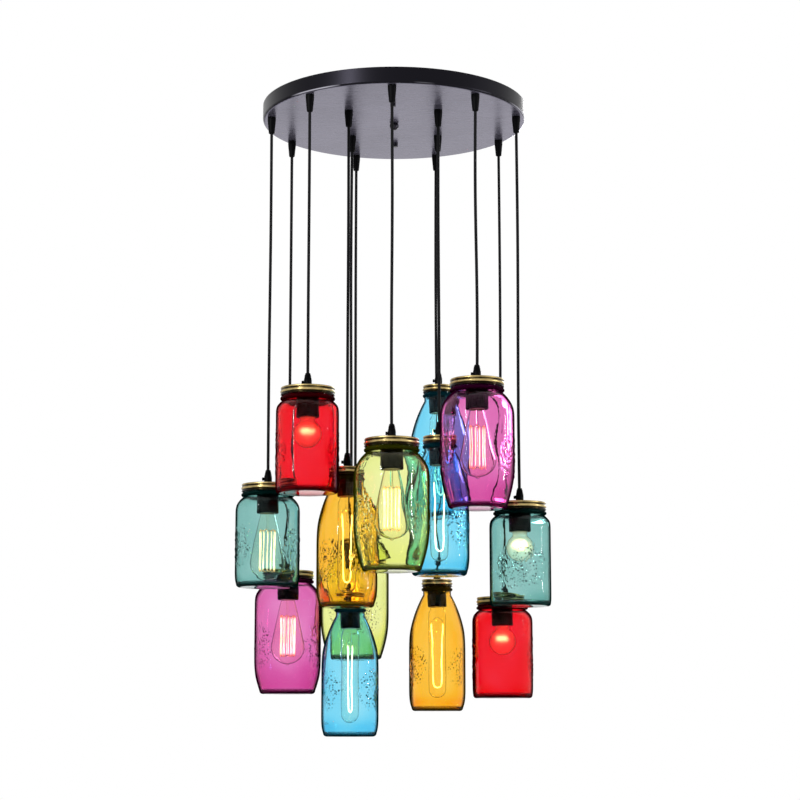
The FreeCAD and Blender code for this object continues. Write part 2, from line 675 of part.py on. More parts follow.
def lid_grip():
    """Cord grip on a lid, with a shank into the lamp holder and a hole for its thumb screw."""
    crown = "1.4"
    body = turned("lid_grip_turned", [
        (CORD_HOLE, f"-{LID_UNDERSIDE} - lid_grip_shank"),
        ("thread_dia/2", f"-{LID_UNDERSIDE} - lid_grip_shank"),
        ("thread_dia/2", "-lid_panel_drop"),
        ("lid_grip_dia/2", "-lid_panel_drop"),
        ("lid_grip_dia/2", "grip_screw_height + grip_screw_dia"),
        ("lid_grip_tip_dia/2", f"lid_grip_height - {crown}", crown, 1),
        (f"lid_grip_tip_dia/2 - {crown}", "lid_grip_height"),
        (CORD_HOLE, "lid_grip_height"),
    ])
    hole = cylinder("grip_screw_hole", "grip_screw_dia + 2*thread_fit", "lid_grip_dia", "grip_screw_height")
    point_left(hole)
    return boolean("Cut", "lid_grip", body, hole)


def grip_screw():
    """Thumb screw that pinches the cord in the lid's grip."""
    shank_length = f"lid_grip_dia/2 - {CORD_HOLE} + 1"
    shank = cylinder("grip_screw_shank", "grip_screw_dia", shank_length, "grip_screw_height")
    head = cylinder("grip_screw_head_piece", "grip_screw_head_dia", "grip_screw_head", "grip_screw_height")
    point_left(shank)
    point_left(head)
    shank.setExpression("Placement.Base.x", bound(f"-{CORD_HOLE}"))
    head.setExpression("Placement.Base.x", bound("-lid_grip_dia/2 - thread_fit"))
    return boolean("Fuse", "grip_screw", shank, head)


def point_left(item):
    """Lays a cylinder along -X, keeping the height it was given."""
    item.Placement = Placement(item.Placement.Base, Rotation(Vector(0, 1, 0), -90))


def pendant_cord(name):
    """Straight cord from its ball end in the canopy grip down into the lamp holder."""
    lower_end = f"({SOCKET_FLOOR} + contact_height + inner_fit)"
    pivot = f"({drop_of(name)} - {PIVOT_DEPTH})"
    straight = cylinder("cord_run_" + name, "cord_dia", f"{pivot} - {lower_end}", lower_end)
    ball = doc.addObject("Part::Sphere", "cord_ball_" + name)
    ball.setExpression("Radius", bound("cord_dia/2"))
    ball.setExpression("Placement.Base.z", bound(pivot))
    return boolean("Fuse", "cord_" + name, straight, ball)


def screw_cap():
    """Screw cap of a lamp with its insulating cone and centre contact."""
    inside = "cap_dia/2 - cap_sheet"
    roof = "(cap_height - holder_depth)"
    tip = f"({SOCKET_FLOOR} - contact_length - inner_fit)"
    return turned("screw_cap", [
        (0, f"{roof} - cap_sheet"),
        (inside, f"{roof} - cap_sheet"),
        (inside, "-holder_depth - 1"),
        ("cap_dia/2", "-holder_depth - 1"),
        ("cap_dia/2", f"{roof} - cap_sheet"),
        ("cap_dia/2 - cap_sheet", roof),
        ("cap_tip_dia/2", f"{tip} - 1"),
        ("cap_tip_dia/2", tip),
        (0, tip),
    ])


LAMP_NECK = "(cap_dia/2 - cap_sheet - inner_fit)"
LAMP_NECK_TOP = "(cap_height - holder_depth - cap_sheet - inner_fit)"


def lamp_glass(kind):
    """Blown glass of a lamp: a neck in the cap, a cone or straight side and a round end."""
    centre = f"(-holder_depth - {kind}_length + {kind}_dia/2)"
    side = []
    for wall, order in (("0", 1), ("bulb_wall", -1)):
        ball = f"({kind}_dia/2 - {wall})"
        neck = f"({LAMP_NECK} - {wall})"
        lean = {"pear": "pear_taper", "tube": "0", "globe": "0"}[kind]
        if kind == "globe":
            join = [(neck, f"{centre} + sqrt({ball}^2 - {neck}^2)")]
        else:
            join = [(f"{ball}*cos({lean}*1deg)", f"{centre} + {ball}*sin({lean}*1deg)")]
            if kind == "pear":
                shoulder = f"{join[0][1]} + ({join[0][0]} - {neck})/tan(pear_taper*1deg)"
            else:
                shoulder = f"-holder_depth - 4 - {wall}"
                join.insert(0, (join[0][0], f"{shoulder} - ({ball} - {neck})*2"))
            join.insert(0, (neck, shoulder))
        side.append([(neck, LAMP_NECK_TOP)] + join + [(0, f"{centre} - {ball}")])
    outer, inner = side
    if kind == "globe":
        # The round end passes its widest point, so it is two arcs
        outer.insert(2, (f"{kind}_dia/2", centre))
        inner.insert(2, (f"{kind}_dia/2 - bulb_wall", centre))
    outside = f"{kind}_dia/2"
    inside = f"{kind}_dia/2 - bulb_wall"
    arcs = 2 if kind == "globe" else 1
    corners = []
    for index, corner in enumerate(outer):
        is_arc = len(outer) - 1 - arcs <= index < len(outer) - 1
        corners.append(corner + (outside, -1) if is_arc else corner)
    backwards = inner[::-1]
    for index, corner in enumerate(backwards):
        corners.append(corner + (inside, 1) if index < arcs else corner)
    return turned(f"{kind}_glass", corners)


def lamp_mount(kind):
    """Glass stem with the discs and strands of the filament."""
    flare = f"({LAMP_NECK} - bulb_wall - inner_fit)"
    flare_top = f"({LAMP_NECK_TOP} - cap_sheet)"
    cage = f"{kind}_cage_dia/2"
    top = f"(-holder_depth - {kind}_cage_top)"
    bottom = f"({top} - {kind}_cage_length)"
    body = turned(f"{kind}_mount", [
        (0, flare_top),
        (flare, flare_top),
        (flare, f"{flare_top} - cage_disc"),
        ("stem_dia/2", f"{flare_top} - 3*cage_disc"),
        ("stem_dia/2", f"{top} + cage_disc"),
        (f"{cage} + wire_dia", f"{top} + cage_disc"),
        (f"{cage} + wire_dia", top),
        ("stem_dia/4", top),
        ("stem_dia/4", bottom),
        (f"{cage} + wire_dia", bottom),
        (f"{cage} + wire_dia", f"{bottom} - cage_disc"),
        (0, f"{bottom} - cage_disc"),
    ])
    strand = new_sketch(body, f"{kind}_strand", "XY_Plane")
    draw_circle(strand, cage, 0, "wire_dia")
    overlap = "cage_disc/2"
    run = pad(body, strand, f"{kind}_cage_length + 2*{overlap}", f"{bottom} - {overlap}")
    polar(body, run, LAMP_STRANDS[kind])
    return body


def vessel_height(kind):
    """Expression for a vessel's height from the lid's top to its base."""
    lamp = VESSELS[kind][1]
    return f"(holder_depth + {lamp}_length + {kind}_room)"


def vessel(kind):
    """Blown jar or bottle: a turned form trimmed to a rounded square, hollowed the same way."""
    lid_kind = VESSELS[kind][0]
    mouth = f"({lid_kind}_lid_dia/2 - lid_groove - lid_sheet - lid_fit)"
    neck = f"({mouth} - {kind}_neck_inset)"
    body_radius = f"({kind}_corners/2 + section_margin)"
    foot_radius = f"({body_radius} - {kind}_taper_inset)"
    rim = "(-lid_sheet - seal_gap)"
    bead = f"(-{lid_kind}_lid_height - bead_gap)"
    shoulder_top = f"({bead} - bead_half - {kind}_neck)"
    shoulder_end = f"({shoulder_top} - {kind}_shoulder)"
    base = f"(-{vessel_height(kind)})"
    taper_end = f"({base} + heel_radius)"
    taper_top = f"({taper_end} + {kind}_taper)"
    spread = f"({body_radius} - {neck})"
    shoulder_arc = f"(({spread}^2 + {kind}_shoulder^2)/(2*{spread}))"
    inset = f"{kind}_taper_inset"
    taper_arc = f"(({inset}^2 + {kind}_taper^2)/(2*{inset}))"
    foot_inner = f"({foot_radius} - heel_radius - foot_width)"
    punt_arc = f"(({foot_inner}^2 + punt_height^2)/(2*punt_height))"
    outside = turned(f"{kind}_outside", [
        (0, rim),
        (mouth, rim),
        (mouth, f"{bead} + bead_half"),
        (f"{mouth} + bead_ledge", f"{bead} + bead_half", "bead_radius", -1),
        (f"{mouth} + bead_ledge", f"{bead} - bead_half"),
        (neck, f"{bead} - bead_half"),
        (neck, shoulder_top, shoulder_arc, -1),
        (body_radius, shoulder_end),
        (body_radius, taper_top, taper_arc, -1),
        (foot_radius, taper_end, "heel_radius", -1),
        (f"{foot_radius} - heel_radius", base),
        (foot_inner, base, punt_arc, 1),
        (0, f"{base} + punt_height"),
    ])
    wall = "glass_wall"
    bore = f"({neck} - {wall})"
    shoulder_inside = f"({shoulder_arc} - {wall})"
    bore_reach = f"({bore} - {body_radius} + {shoulder_arc})"
    bore_end = f"({shoulder_end} + sqrt({shoulder_inside}^2 - {bore_reach}^2))"
    floor = f"({base} + base_glass)"
    floor_radius = f"({foot_radius} - {wall})"
    floor_flat = f"({floor_radius} - heel_radius)"
    floor_arc = f"(({floor_flat}^2 + punt_height^2)/(2*punt_height))"
    inside = turned(f"{kind}_inside", [
        (0, "section_margin"),
        (bore, "section_margin"),
        (bore, bore_end, shoulder_inside, -1),
        (f"{body_radius} - {wall}", shoulder_end),
        (f"{body_radius} - {wall}", f"{taper_top} + heel_radius", taper_arc, -1),
        (floor_radius, f"{taper_end} + heel_radius", "heel_radius*1.05", -1),
        (floor_flat, floor, floor_arc, 1),
        (0, f"{floor} + punt_height"),
    ])
    outer_trim = boolean("Common", f"{kind}_form", outside, square_trim(kind, "outer", "0"))
    inner_trim = boolean("Common", f"{kind}_hollow", inside, square_trim(kind, "inner", wall))
    return boolean("Cut", f"{kind}_vessel", outer_trim, inner_trim)


def square_trim(kind, side, wall):
    """Upright rounded square that trims a turned vessel, or its hollow, to its section."""
    flat = f"({kind}_flats/2 - {wall})"
    corner = f"(({kind}_flats/2*sqrt(2) - {kind}_corners/2)/(sqrt(2) - 1) - {wall})"
    straight = f"({flat} - {corner})"
    body = new_body(f"{kind}_{side}_trim")
    sketch = new_sketch(body, f"{kind}_{side}_section", "XY_Plane")
    draw_outline(sketch, [
        (flat, f"-{straight}"),
        (flat, straight, corner, 1),
        (straight, flat),
        (f"-{straight}", flat, corner, 1),
        (f"-{flat}", straight),
        (f"-{flat}", f"-{straight}", corner, 1),
        (f"-{straight}", f"-{flat}"),
        (straight, f"-{flat}", corner, 1),
    ])
    spare = 5
    height = vessel_height(kind)
    pad(body, sketch, f"{height} + 2*{spare}", f"-{height} - {spare}")
    return body


def compound(name, pieces):
    """Groups pieces, each still its own solid, under one name and one place."""
    item = doc.addObject("Part::Compound", name)
    item.Label = name
    item.Links = pieces
    return item


def put_on_ring(item, ring, angle, height):
    """Places an item under the canopy on one of the two rings."""
    item.setExpression("Placement.Base.x", bound(f"{RING[ring]}*sin({angle}deg)"))
    item.setExpression("Placement.Base.y", bound(f"-{RING[ring]}*cos({angle}deg)"))
    item.setExpression("Placement.Base.z", bound(height))


def pendants():
    """Cord set, lid, lamp and jar of every pendant, each placed under its own cord."""
    lids = {kind: lid(kind) for kind in ("wide", "narrow")}
    holders = {kind: lamp_holder(kind) for kind in ("wide", "narrow")}
    shared = [lid_grip(), grip_screw(), contact_block()]
    cap = screw_cap()
    lamps = {kind: [lamp_glass(kind), cap, lamp_mount(kind)] for kind in LAMP_STRANDS}
    vessels = {kind: vessel(kind) for kind in VESSELS}
    nodes = []
    for name, ring, angle, kind, lamp, drop, turn in PENDANTS:
        lid_kind = VESSELS[kind][0]
        height = f"{UNDERSIDE} - {drop_of(name)}"
        jar = compound("jar_" + name, [vessels[kind]])
        jar.Placement = Placement(Vector(), Rotation(Vector(0, 0, 1), turn or 1))
        jar.setExpression("Placement.Rotation.Angle", bound("turn_" + name))
        cord_set = compound("cord_set_" + name, [pendant_cord(name), holders[lid_kind]] + shared)
        lid_copy = compound("lid_" + name, [lids[lid_kind]])
        bulb = compound("bulb_" + name, lamps[lamp])
        for node in (cord_set, lid_copy, bulb, jar):
            put_on_ring(node, ring, angle, height)
            nodes.append(node)
    return nodes


def check(items):
    """Stops if anything in the document failed or a sub-part has no valid shape."""
    for item in doc.Objects:
        if "Invalid" in item.State or "Error" in item.State:
            raise RuntimeError(f"{item.Label} failed: {item.State}")
    for item in items:
        if item.Shape.isNull() or not item.Shape.isValid() or not item.Shape.Solids:
            raise RuntimeError(f"{item.Label} has no valid solid")


nodes = [
    canopy_pan(),
    mounting_crossbar(),
    hanger_studs(),
    ball_nut(),
    thumb_nuts(),
    canopy_cord_grips(),
    terminal_strips(),
    cord_tails(),
]
nodes += pendants()
doc.recompute()
check(nodes)
os.makedirs("parts", exist_ok=True)
for node in nodes:
    node.Shape.exportStep(os.path.join("parts", node.Label + ".step"))
    box = node.Shape.BoundBox
    print(f"{node.Label}: {len(node.Shape.Solids)} solids, {node.Shape.Volume / 1000:.1f} cm3,"
          f" z {box.ZMin:.1f} to {box.ZMax:.1f}")
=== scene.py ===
import json
import math
import random

import bmesh
import bpy
import numpy as np
from mathutils import Matrix, Vector


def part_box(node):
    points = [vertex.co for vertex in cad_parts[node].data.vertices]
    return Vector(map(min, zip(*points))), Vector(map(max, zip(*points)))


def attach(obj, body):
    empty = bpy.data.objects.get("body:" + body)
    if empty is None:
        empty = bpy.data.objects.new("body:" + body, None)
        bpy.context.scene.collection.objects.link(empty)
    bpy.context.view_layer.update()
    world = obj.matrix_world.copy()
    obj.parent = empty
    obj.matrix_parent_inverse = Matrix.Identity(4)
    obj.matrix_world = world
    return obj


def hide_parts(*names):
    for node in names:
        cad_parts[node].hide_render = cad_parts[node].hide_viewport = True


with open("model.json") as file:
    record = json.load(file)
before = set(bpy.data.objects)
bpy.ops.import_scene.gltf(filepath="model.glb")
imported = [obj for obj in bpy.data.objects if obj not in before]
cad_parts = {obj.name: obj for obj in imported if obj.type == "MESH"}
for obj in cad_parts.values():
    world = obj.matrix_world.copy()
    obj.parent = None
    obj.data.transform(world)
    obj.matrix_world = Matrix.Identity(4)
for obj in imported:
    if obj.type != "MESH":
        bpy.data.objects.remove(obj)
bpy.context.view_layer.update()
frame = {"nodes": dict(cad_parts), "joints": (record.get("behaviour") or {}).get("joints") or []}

# A round canopy with thirteen glass pendants on cords, in metres, with +Z up and the front towards -Y

MM = 0.001

# Every pendant: its vessel, its lamp and the colour of its glass, then in degrees the turn of its jar,
# the side that its ornament faces and the turn of its lamp
PENDANTS = {
    "green_front": ("large", "pear", "green", 45, -150, 0),
    "magenta_right": ("large", "pear", "magenta", 33, -165, 15),
    "teal_right": ("short", "globe", "teal", 0, -75, 10),
    "red_right": ("short", "globe", "red", 8, 175, 40),
    "amber_back": ("bottle", "tube", "amber", 20, -145, 5),
    "green_back": ("large", "pear", "green", 40, -70, 20),
    "magenta_left": ("large", "pear", "magenta", 0, -25, 10),
    "teal_left": ("short", "pear", "teal", 40, -150, 5),
    "red_left": ("short", "globe", "red", 0, -160, 0),
    "amber_inner": ("bottle", "tube", "amber", 40, -50, 40),
    "blue_front": ("bottle", "tube", "blue", 10, -40, 30),
    "blue_back": ("bottle", "tube", "blue", 25, -125, 20),
    "blue_low": ("bottle", "tube", "blue", 0, -38, 70),
}

# Sizes that the looks share with the solids, in millimetres
CORD_RADIUS = 2.5
CORD_HOLE = 2.8
HOLDER_DEPTH = 48.0
LID_SHEET = 0.8
PANEL_DROP = 1.2
GLASS_WALL = 3.0
LAMP_NECK = 12.15
CAP_RADIUS = 13.25

# Names of the mesh values that the glass and the lids read: the ornament, and where shade and highlight
# are painted
ORNAMENT = "ornament"
EDGE_SHADE = "edge_shade_weight"
PAINTED_SHADE = "dark"
WEAR_AND_SHADE = "wear_and_shade"


class Tree:
    """A node tree that is written as Python: make() adds a node, and its outputs work in sums."""

    def __init__(self, owner):
        owner.use_nodes = True
        self.nodes = owner.node_tree.nodes
        self.links = owner.node_tree.links
        self.nodes.clear()

    def make(self, kind, settings=None, **values):
        """Adds a node, sets its settings, then the values or links of its sockets by name."""
        node = self.nodes.new("ShaderNode" + kind)
        for key, value in (settings or {}).items():
            setattr(node, key, value)
        for key, value in values.items():
            self.feed(self.socket(node, key), value)
        return node

    def socket(self, node, key):
        """A node's input by name with underscores for blanks, or by number after an s."""
        if key[0] == "s" and key[1:].isdigit():
            return node.inputs[int(key[1:])]
        return node.inputs[key.replace("_", " ")]

    def feed(self, socket, value):
        if isinstance(value, Value):
            self.links.new(value.socket, socket)
        elif isinstance(value, bpy.types.NodeSocket):
            self.links.new(value, socket)
        else:
            socket.default_value = value

    def out(self, node, key=0):
        return Value(self, node.outputs[key])


class Value:
    """One output socket; sums with numbers or other values add Math nodes."""

    def __init__(self, tree, socket):
        self.tree = tree
        self.socket = socket

    def sum(self, operation, first, second):
        node = self.tree.make("Math", {"operation": operation}, s0=first, s1=second)
        return self.tree.out(node)

    def __add__(self, other):
        return self.sum("ADD", self, other)

    def __radd__(self, other):
        return self.sum("ADD", other, self)

    def __sub__(self, other):
        return self.sum("SUBTRACT", self, other)

    def __rsub__(self, other):
        return self.sum("SUBTRACT", other, self)

    def __mul__(self, other):
        return self.sum("MULTIPLY", self, other)

    def __rmul__(self, other):
        return self.sum("MULTIPLY", other, self)

    def __pow__(self, other):
        return self.sum("POWER", self, other)

    def most(self, other):
        return self.sum("MAXIMUM", self, other)

    def least(self, other):
        return self.sum("MINIMUM", self, other)


def rgb(red, green, blue):
    return (red, green, blue, 1.0)


def noise(tree, place, scale, detail=2.0):
    """Cloudy values from 0 to 1 at a place."""
    node = tree.make("TexNoise", Vector=place, Scale=scale, Detail=detail)
    return tree.out(node, "Fac")


def blend(tree, factor, first, second):
    """A colour between two others."""
    node = tree.make("Mix", {"data_type": "RGBA"}, s0=factor, s6=first, s7=second)
    return tree.out(node, 2)


def relief(tree, height, strength, distance):
    """The normal of a surface with a fine relief of a depth in metres."""
    bump = tree.make("Bump", Strength=strength, Distance=distance, Height=height)
    return bump.outputs["Normal"]


def new_finish(name):
    material = bpy.data.materials.new(name)
    return material, Tree(material)


def surface(tree, shader, volume=None):
    output = tree.make("OutputMaterial", Surface=shader)
    if volume is not None:
        tree.feed(output.inputs["Volume"], volume)


def solid_surface(tree, **values):
    """A surface that lets no light through."""
    surface(tree, tree.make("BsdfPrincipled", **values).outputs["BSDF"])


def object_place(tree, scale=(1.0, 1.0, 1.0)):
    """The object's own coordinates, stretched along its axes."""
    coordinates = tree.make("TexCoord")
    mapping = tree.make("Mapping", Vector=coordinates.outputs["Object"], Scale=scale)
    return mapping.outputs["Vector"]


def place_parts(tree, place):
    """The three coordinates of a place."""
    parts = tree.make("SeparateXYZ", Vector=place)
    return [tree.out(parts, axis) for axis in "XYZ"]


def share(tree, value, low, high):
    """0 up to low, 1 from high on, and an even change between them."""
    return tree.out(tree.make("MapRange", Value=value, From_Min=low, From_Max=high))


def edge_on(tree, normal, low, high):
    """How far a surface is seen edge on, from 0 to 1."""
    facing = tree.out(tree.make("LayerWeight", Blend=0.5, Normal=normal), "Facing")
    return share(tree, facing, low, high)


def stored(tree, name):
    """A value that is stored on the mesh's points."""
    return tree.out(tree.make("Attribute", {"attribute_name": name}), "Fac")


def painted_edge_shade(tree, glass, factor, colour):
    """Glass with painted shade: a dark diffuse layer mixed in by a factor, standing in for the darkness
    that refraction gives deep glass at its edges.
    """
    edge = tree.make("BsdfDiffuse", Color=rgb(*colour))
    mix = tree.make("MixShader", s0=factor, s1=glass.outputs["BSDF"], s2=edge.outputs["BSDF"])
    return mix.outputs["Shader"]


def jar_glass(name, tint, density):
    """Coloured glass: its colour deepens with its thickness, and its ornament is finely pebbled;
    painted shade darkens it where it is seen edge on, on its heel, on its bead and in speckles over the
    ornament.
    """
    material, tree = new_finish(name)
    place = object_place(tree)
    ripple = noise(tree, place, scale=45.0) + 0.35 * noise(tree, place, scale=160.0)
    cells = tree.make("TexVoronoi", Vector=place, Scale=270.0)
    pebbles = 1 - share(tree, tree.out(cells, "Distance"), 0.08, 0.52)
    patches = share(tree, noise(tree, place, scale=85.0), 0.47, 0.56)
    pressed = stored(tree, ORNAMENT) * patches
    waves = 0.2 * ripple + pressed * pebbles
    normal = relief(tree, waves, strength=1.0, distance=0.5 * MM)
    glass = tree.make(
        "BsdfPrincipled",
        Base_Color=rgb(1.0, 1.0, 1.0),
        Roughness=0.02,
        IOR=1.45,
        Specular_Tint=rgb(0.2, 0.2, 0.2),
        Transmission_Weight=1.0,
        Normal=normal,
    )
    absorb = tree.make("VolumeAbsorption", Color=rgb(*tint), Density=density)
    # Painted shade where the outer glass is seen edge on, standing in for the dark edges of deep glass
    edge_shade_colour = [0.02 * part ** 2 for part in tint]
    edge = stored(tree, EDGE_SHADE) * edge_on(tree, normal, 0.5, 0.68)
    # Painted shade in speckles over the ornament, standing in for the dark rims that refraction gives
    # its pebbles
    cells = tree.make("TexVoronoi", Vector=place, Scale=230.0)
    dots = 1 - share(tree, tree.out(cells, "Distance"), 0.26, 0.4)
    groups = share(tree, noise(tree, place, scale=60.0), 0.42, 0.5)
    speck_shade = stored(tree, ORNAMENT) * groups * dots
    dark = edge.most(stored(tree, PAINTED_SHADE)).most(0.85 * speck_shade)
    surface(tree, painted_edge_shade(tree, glass, dark, edge_shade_colour), absorb.outputs["Volume"])
    return material


def lamp_glass_finish(name, frost, painted_glow):
    """Thin lamp glass with a faint warm tint, clear or frosted, with painted shade where it is seen
    edge on and, when frosted, a painted glow that stands in for the filament's light scattered in the
    glass.
    """
    material, tree = new_finish(name)
    haze = noise(tree, object_place(tree), scale=30.0)
    normal = relief(tree, haze, strength=0.05, distance=MM)
    glass = tree.make(
        "BsdfPrincipled",
        Base_Color=rgb(1.0, 0.98, 0.93),
        Roughness=frost + 0.02 * haze,
        IOR=1.3,
        Specular_Tint=rgb(0.4, 0.4, 0.4),
        Transmission_Weight=1.0,
        # Painted glow of the glass, standing in for the filament's light scattered in the frost
        Emission_Color=rgb(1.0, 0.72, 0.3),
        Emission_Strength=painted_glow,
        Normal=normal,
    )
    # Painted shade where the lamp glass is seen edge on
    edge = edge_on(tree, normal, 0.68, 0.95)
    surface(tree, painted_edge_shade(tree, glass, edge, (0.02, 0.016, 0.01)))
    return material


def glow(name, colour, strength, bright):
    """A hot filament, cooler beyond the two heights, in millimetres, between which it is bright."""
    material, tree = new_finish(name)
    bright_from, bright_to = (level * MM for level in bright)
    place = object_place(tree)
    heat = noise(tree, place, scale=400.0)
    height = place_parts(tree, place)[2]
    fade = 4 * MM
    middle = share(tree, height, bright_from - fade, bright_from)
    middle = middle * share(tree, height, bright_to + fade, bright_to)
    cooler = (0.2 * heat + share(tree, noise(tree, place, scale=70.0), 0.4, 0.7)).least(0.8)
    hot = blend(tree, cooler, rgb(*colour), rgb(1.0, 0.62, 0.2))
    shade = blend(tree, middle, rgb(0.25, 0.1, 0.03), hot)
    solid_surface(
        tree,
        Base_Color=rgb(0.9, 0.6, 0.3),
        Roughness=0.6,
        Emission_Color=shade,
        Emission_Strength=strength,
    )
    return material


def lid_brass():
    """Antique brass, tarnished in patches: bright on its rolled edges, partly rubbed and partly a
    painted highlight, and nearly black in its grooves and on its lower band as painted shade.
    """
    material, tree = new_finish("lid_brass")
    place = object_place(tree)
    tarnish = share(tree, noise(tree, place, scale=42.0, detail=5.0), 0.36, 0.62)
    fine = noise(tree, object_place(tree, (1.0, 1.0, 14.0)), scale=260.0, detail=3.0)
    height = place_parts(tree, place)[2]
    # Rubbed metal and a painted highlight on the proud beads, painted shade in the grooves
    rubbed_and_lit = stored(tree, WEAR_AND_SHADE)
    # Painted shade on the lower band of the lid
    low_band_shade = share(tree, height, -9.0 * MM, -9.8 * MM)
    tarnish_and_shade = (0.7 * tarnish + 0.95 * low_band_shade + 0.95 * (1 - rubbed_and_lit)).least(1.0)
    colour = blend(tree, tarnish_and_shade, rgb(0.56, 0.43, 0.18), rgb(0.01, 0.007, 0.003))
    solid_surface(
        tree,
        Base_Color=colour,
        Metallic=1.0,
        Roughness=0.26 + 0.25 * tarnish,
        Normal=relief(tree, fine, strength=0.12, distance=0.4 * MM),
    )
    return material


def bright_metal(name, colour, roughness):
    """Plated metal with faint scratches."""
    material, tree = new_finish(name)
    scratch = noise(tree, object_place(tree, (1.0, 1.0, 9.0)), scale=300.0, detail=4.0)
    darker = [0.75 * part for part in colour]
    solid_surface(
        tree,
        Base_Color=blend(tree, scratch, rgb(*colour), rgb(*darker)),
        Metallic=1.0,
        Roughness=roughness + 0.15 * scratch,
        Normal=relief(tree, scratch, strength=0.1, distance=0.3 * MM),
    )
    return material


def canopy_metal():
    """Dark metal: a brushed underside with a soft sheen and a nearly black rim, with a painted
    highlight in patches along the rim's lower edge.
    """
    material, tree = new_finish("canopy_metal")
    place = object_place(tree)
    streak = noise(tree, object_place(tree, (3.0, 60.0, 40.0)), scale=8.0, detail=5.0)
    cloud = noise(tree, place, scale=7.0, detail=3.0)
    shade = 0.65 * streak + 0.35 * cloud
    across, along, height = place_parts(tree, place)
    reach = (across * across + along * along) ** 0.5
    underside = share(tree, height, -26.3 * MM, -26.9 * MM)
    brushed = blend(tree, shade, rgb(0.06, 0.055, 0.085), rgb(0.31, 0.29, 0.385))
    # Painted highlight in patches along the lower edge of the rim, where its rolled bead would catch
    # the light
    under_rim = share(tree, height, -23.8 * MM, -24.6 * MM)
    over_bend = share(tree, height, -26.2 * MM, -25.4 * MM)
    patches = share(tree, noise(tree, place, scale=5.0), 0.5, 0.58)
    outside = share(tree, reach, 222.9 * MM, 223.3 * MM)
    rim_edge_highlight = under_rim * over_bend * patches * outside
    rim = blend(tree, rim_edge_highlight, rgb(0.008, 0.0075, 0.0105), rgb(0.4, 0.39, 0.45))
    solid_surface(
        tree,
        Base_Color=blend(tree, underside, rim, brushed),
        Metallic=0.8,
        Roughness=0.34 + (0.16 * streak - 0.14) * underside,
        Specular_IOR_Level=0.1,
        Normal=relief(tree, streak, strength=0.12, distance=0.4 * MM),
    )
    return material


def plastic(name, colour, roughness, grain, shine):
    """Moulded plastic with a fine grain."""
    material, tree = new_finish(name)
    place = object_place(tree)
    fine = noise(tree, place, scale=1400.0, detail=3.0)
    patch = noise(tree, place, scale=60.0)
    paler = [1.5 * part for part in colour]
    solid_surface(
        tree,
        Base_Color=blend(tree, patch, rgb(*colour), rgb(*paler)),
        Roughness=roughness + 0.15 * patch,
        Specular_IOR_Level=shine,
        Normal=relief(tree, fine, strength=grain, distance=0.3 * MM),
    )
    return material


def cord_cover():
    """Black cord with the fine crossed ridges of its braided cover."""
    material, tree = new_finish("cord_cover")
    coordinates = tree.make("TexCoord")
    ridges = []
    for turn in (0.7, -0.7):
        mapping = tree.make("Mapping", Vector=coordinates.outputs["Object"], Rotation=(turn, turn, 0.0))
        along = mapping.outputs["Vector"]
        wave = tree.make("TexWave", {"bands_direction": "Z"}, Vector=along, Scale=260.0)
        ridges.append(tree.out(wave, "Fac"))
    weave = ridges[0].most(ridges[1])
    solid_surface(
        tree,
        Base_Color=blend(tree, weave, rgb(0.002, 0.002, 0.002), rgb(0.006, 0.006, 0.007)),
        Roughness=0.75 - 0.2 * weave,
        Specular_IOR_Level=0.06,
        Normal=relief(tree, weave, strength=0.3, distance=0.3 * MM),
    )
    return material


FINISHES = {
    "green": jar_glass("green_glass", (0.84, 0.89, 0.03), density=165.0),
    "magenta": jar_glass("magenta_glass", (0.84, 0.03, 0.6), density=275.0),
    "teal": jar_glass("teal_glass", (0.1, 0.58, 0.54), density=240.0),
    "red": jar_glass("red_glass", (0.97, 0.045, 0.2), density=760.0),
    "amber": jar_glass("amber_glass", (0.992, 0.8, 0.02), density=480.0),
    "blue": jar_glass("blue_glass", (0.12, 0.8, 0.955), density=270.0),
    "clear_lamp_glass": lamp_glass_finish("clear_lamp_glass", frost=0.01, painted_glow=0.0),
    "frosted_lamp_glass": lamp_glass_finish("frosted_lamp_glass", frost=0.5, painted_glow=0.04),
    "pear": glow("pear_filament", (1.0, 0.88, 0.62), strength=3.0, bright=(-139, -82)),
    "tube": glow("tube_filament", (1.0, 0.88, 0.6), strength=4.5, bright=(-188, -80)),
    "globe": glow("globe_filament", (1.0, 0.66, 0.24), strength=16.0, bright=(-80, -60)),
    "brass": lid_brass(),
    "cap_metal": bright_metal("cap_metal", (0.72, 0.62, 0.42), roughness=0.2),
    "zinc": bright_metal("zinc", (0.62, 0.62, 0.6), roughness=0.3),
    "dark_metal": bright_metal("dark_metal", (0.03, 0.029, 0.036), roughness=0.2),
    "canopy": canopy_metal(),
    "black": plastic("black_plastic", (0.0015, 0.0015, 0.0018), roughness=0.4, grain=0.15, shine=0.03),
    "terminal": plastic("terminal_plastic", (0.55, 0.54, 0.5), roughness=0.35, grain=0.08, shine=0.5),
    "cord": cord_cover(),
}


LEAST_ARC_STEPS = 4
ON_AXIS = 1e-6


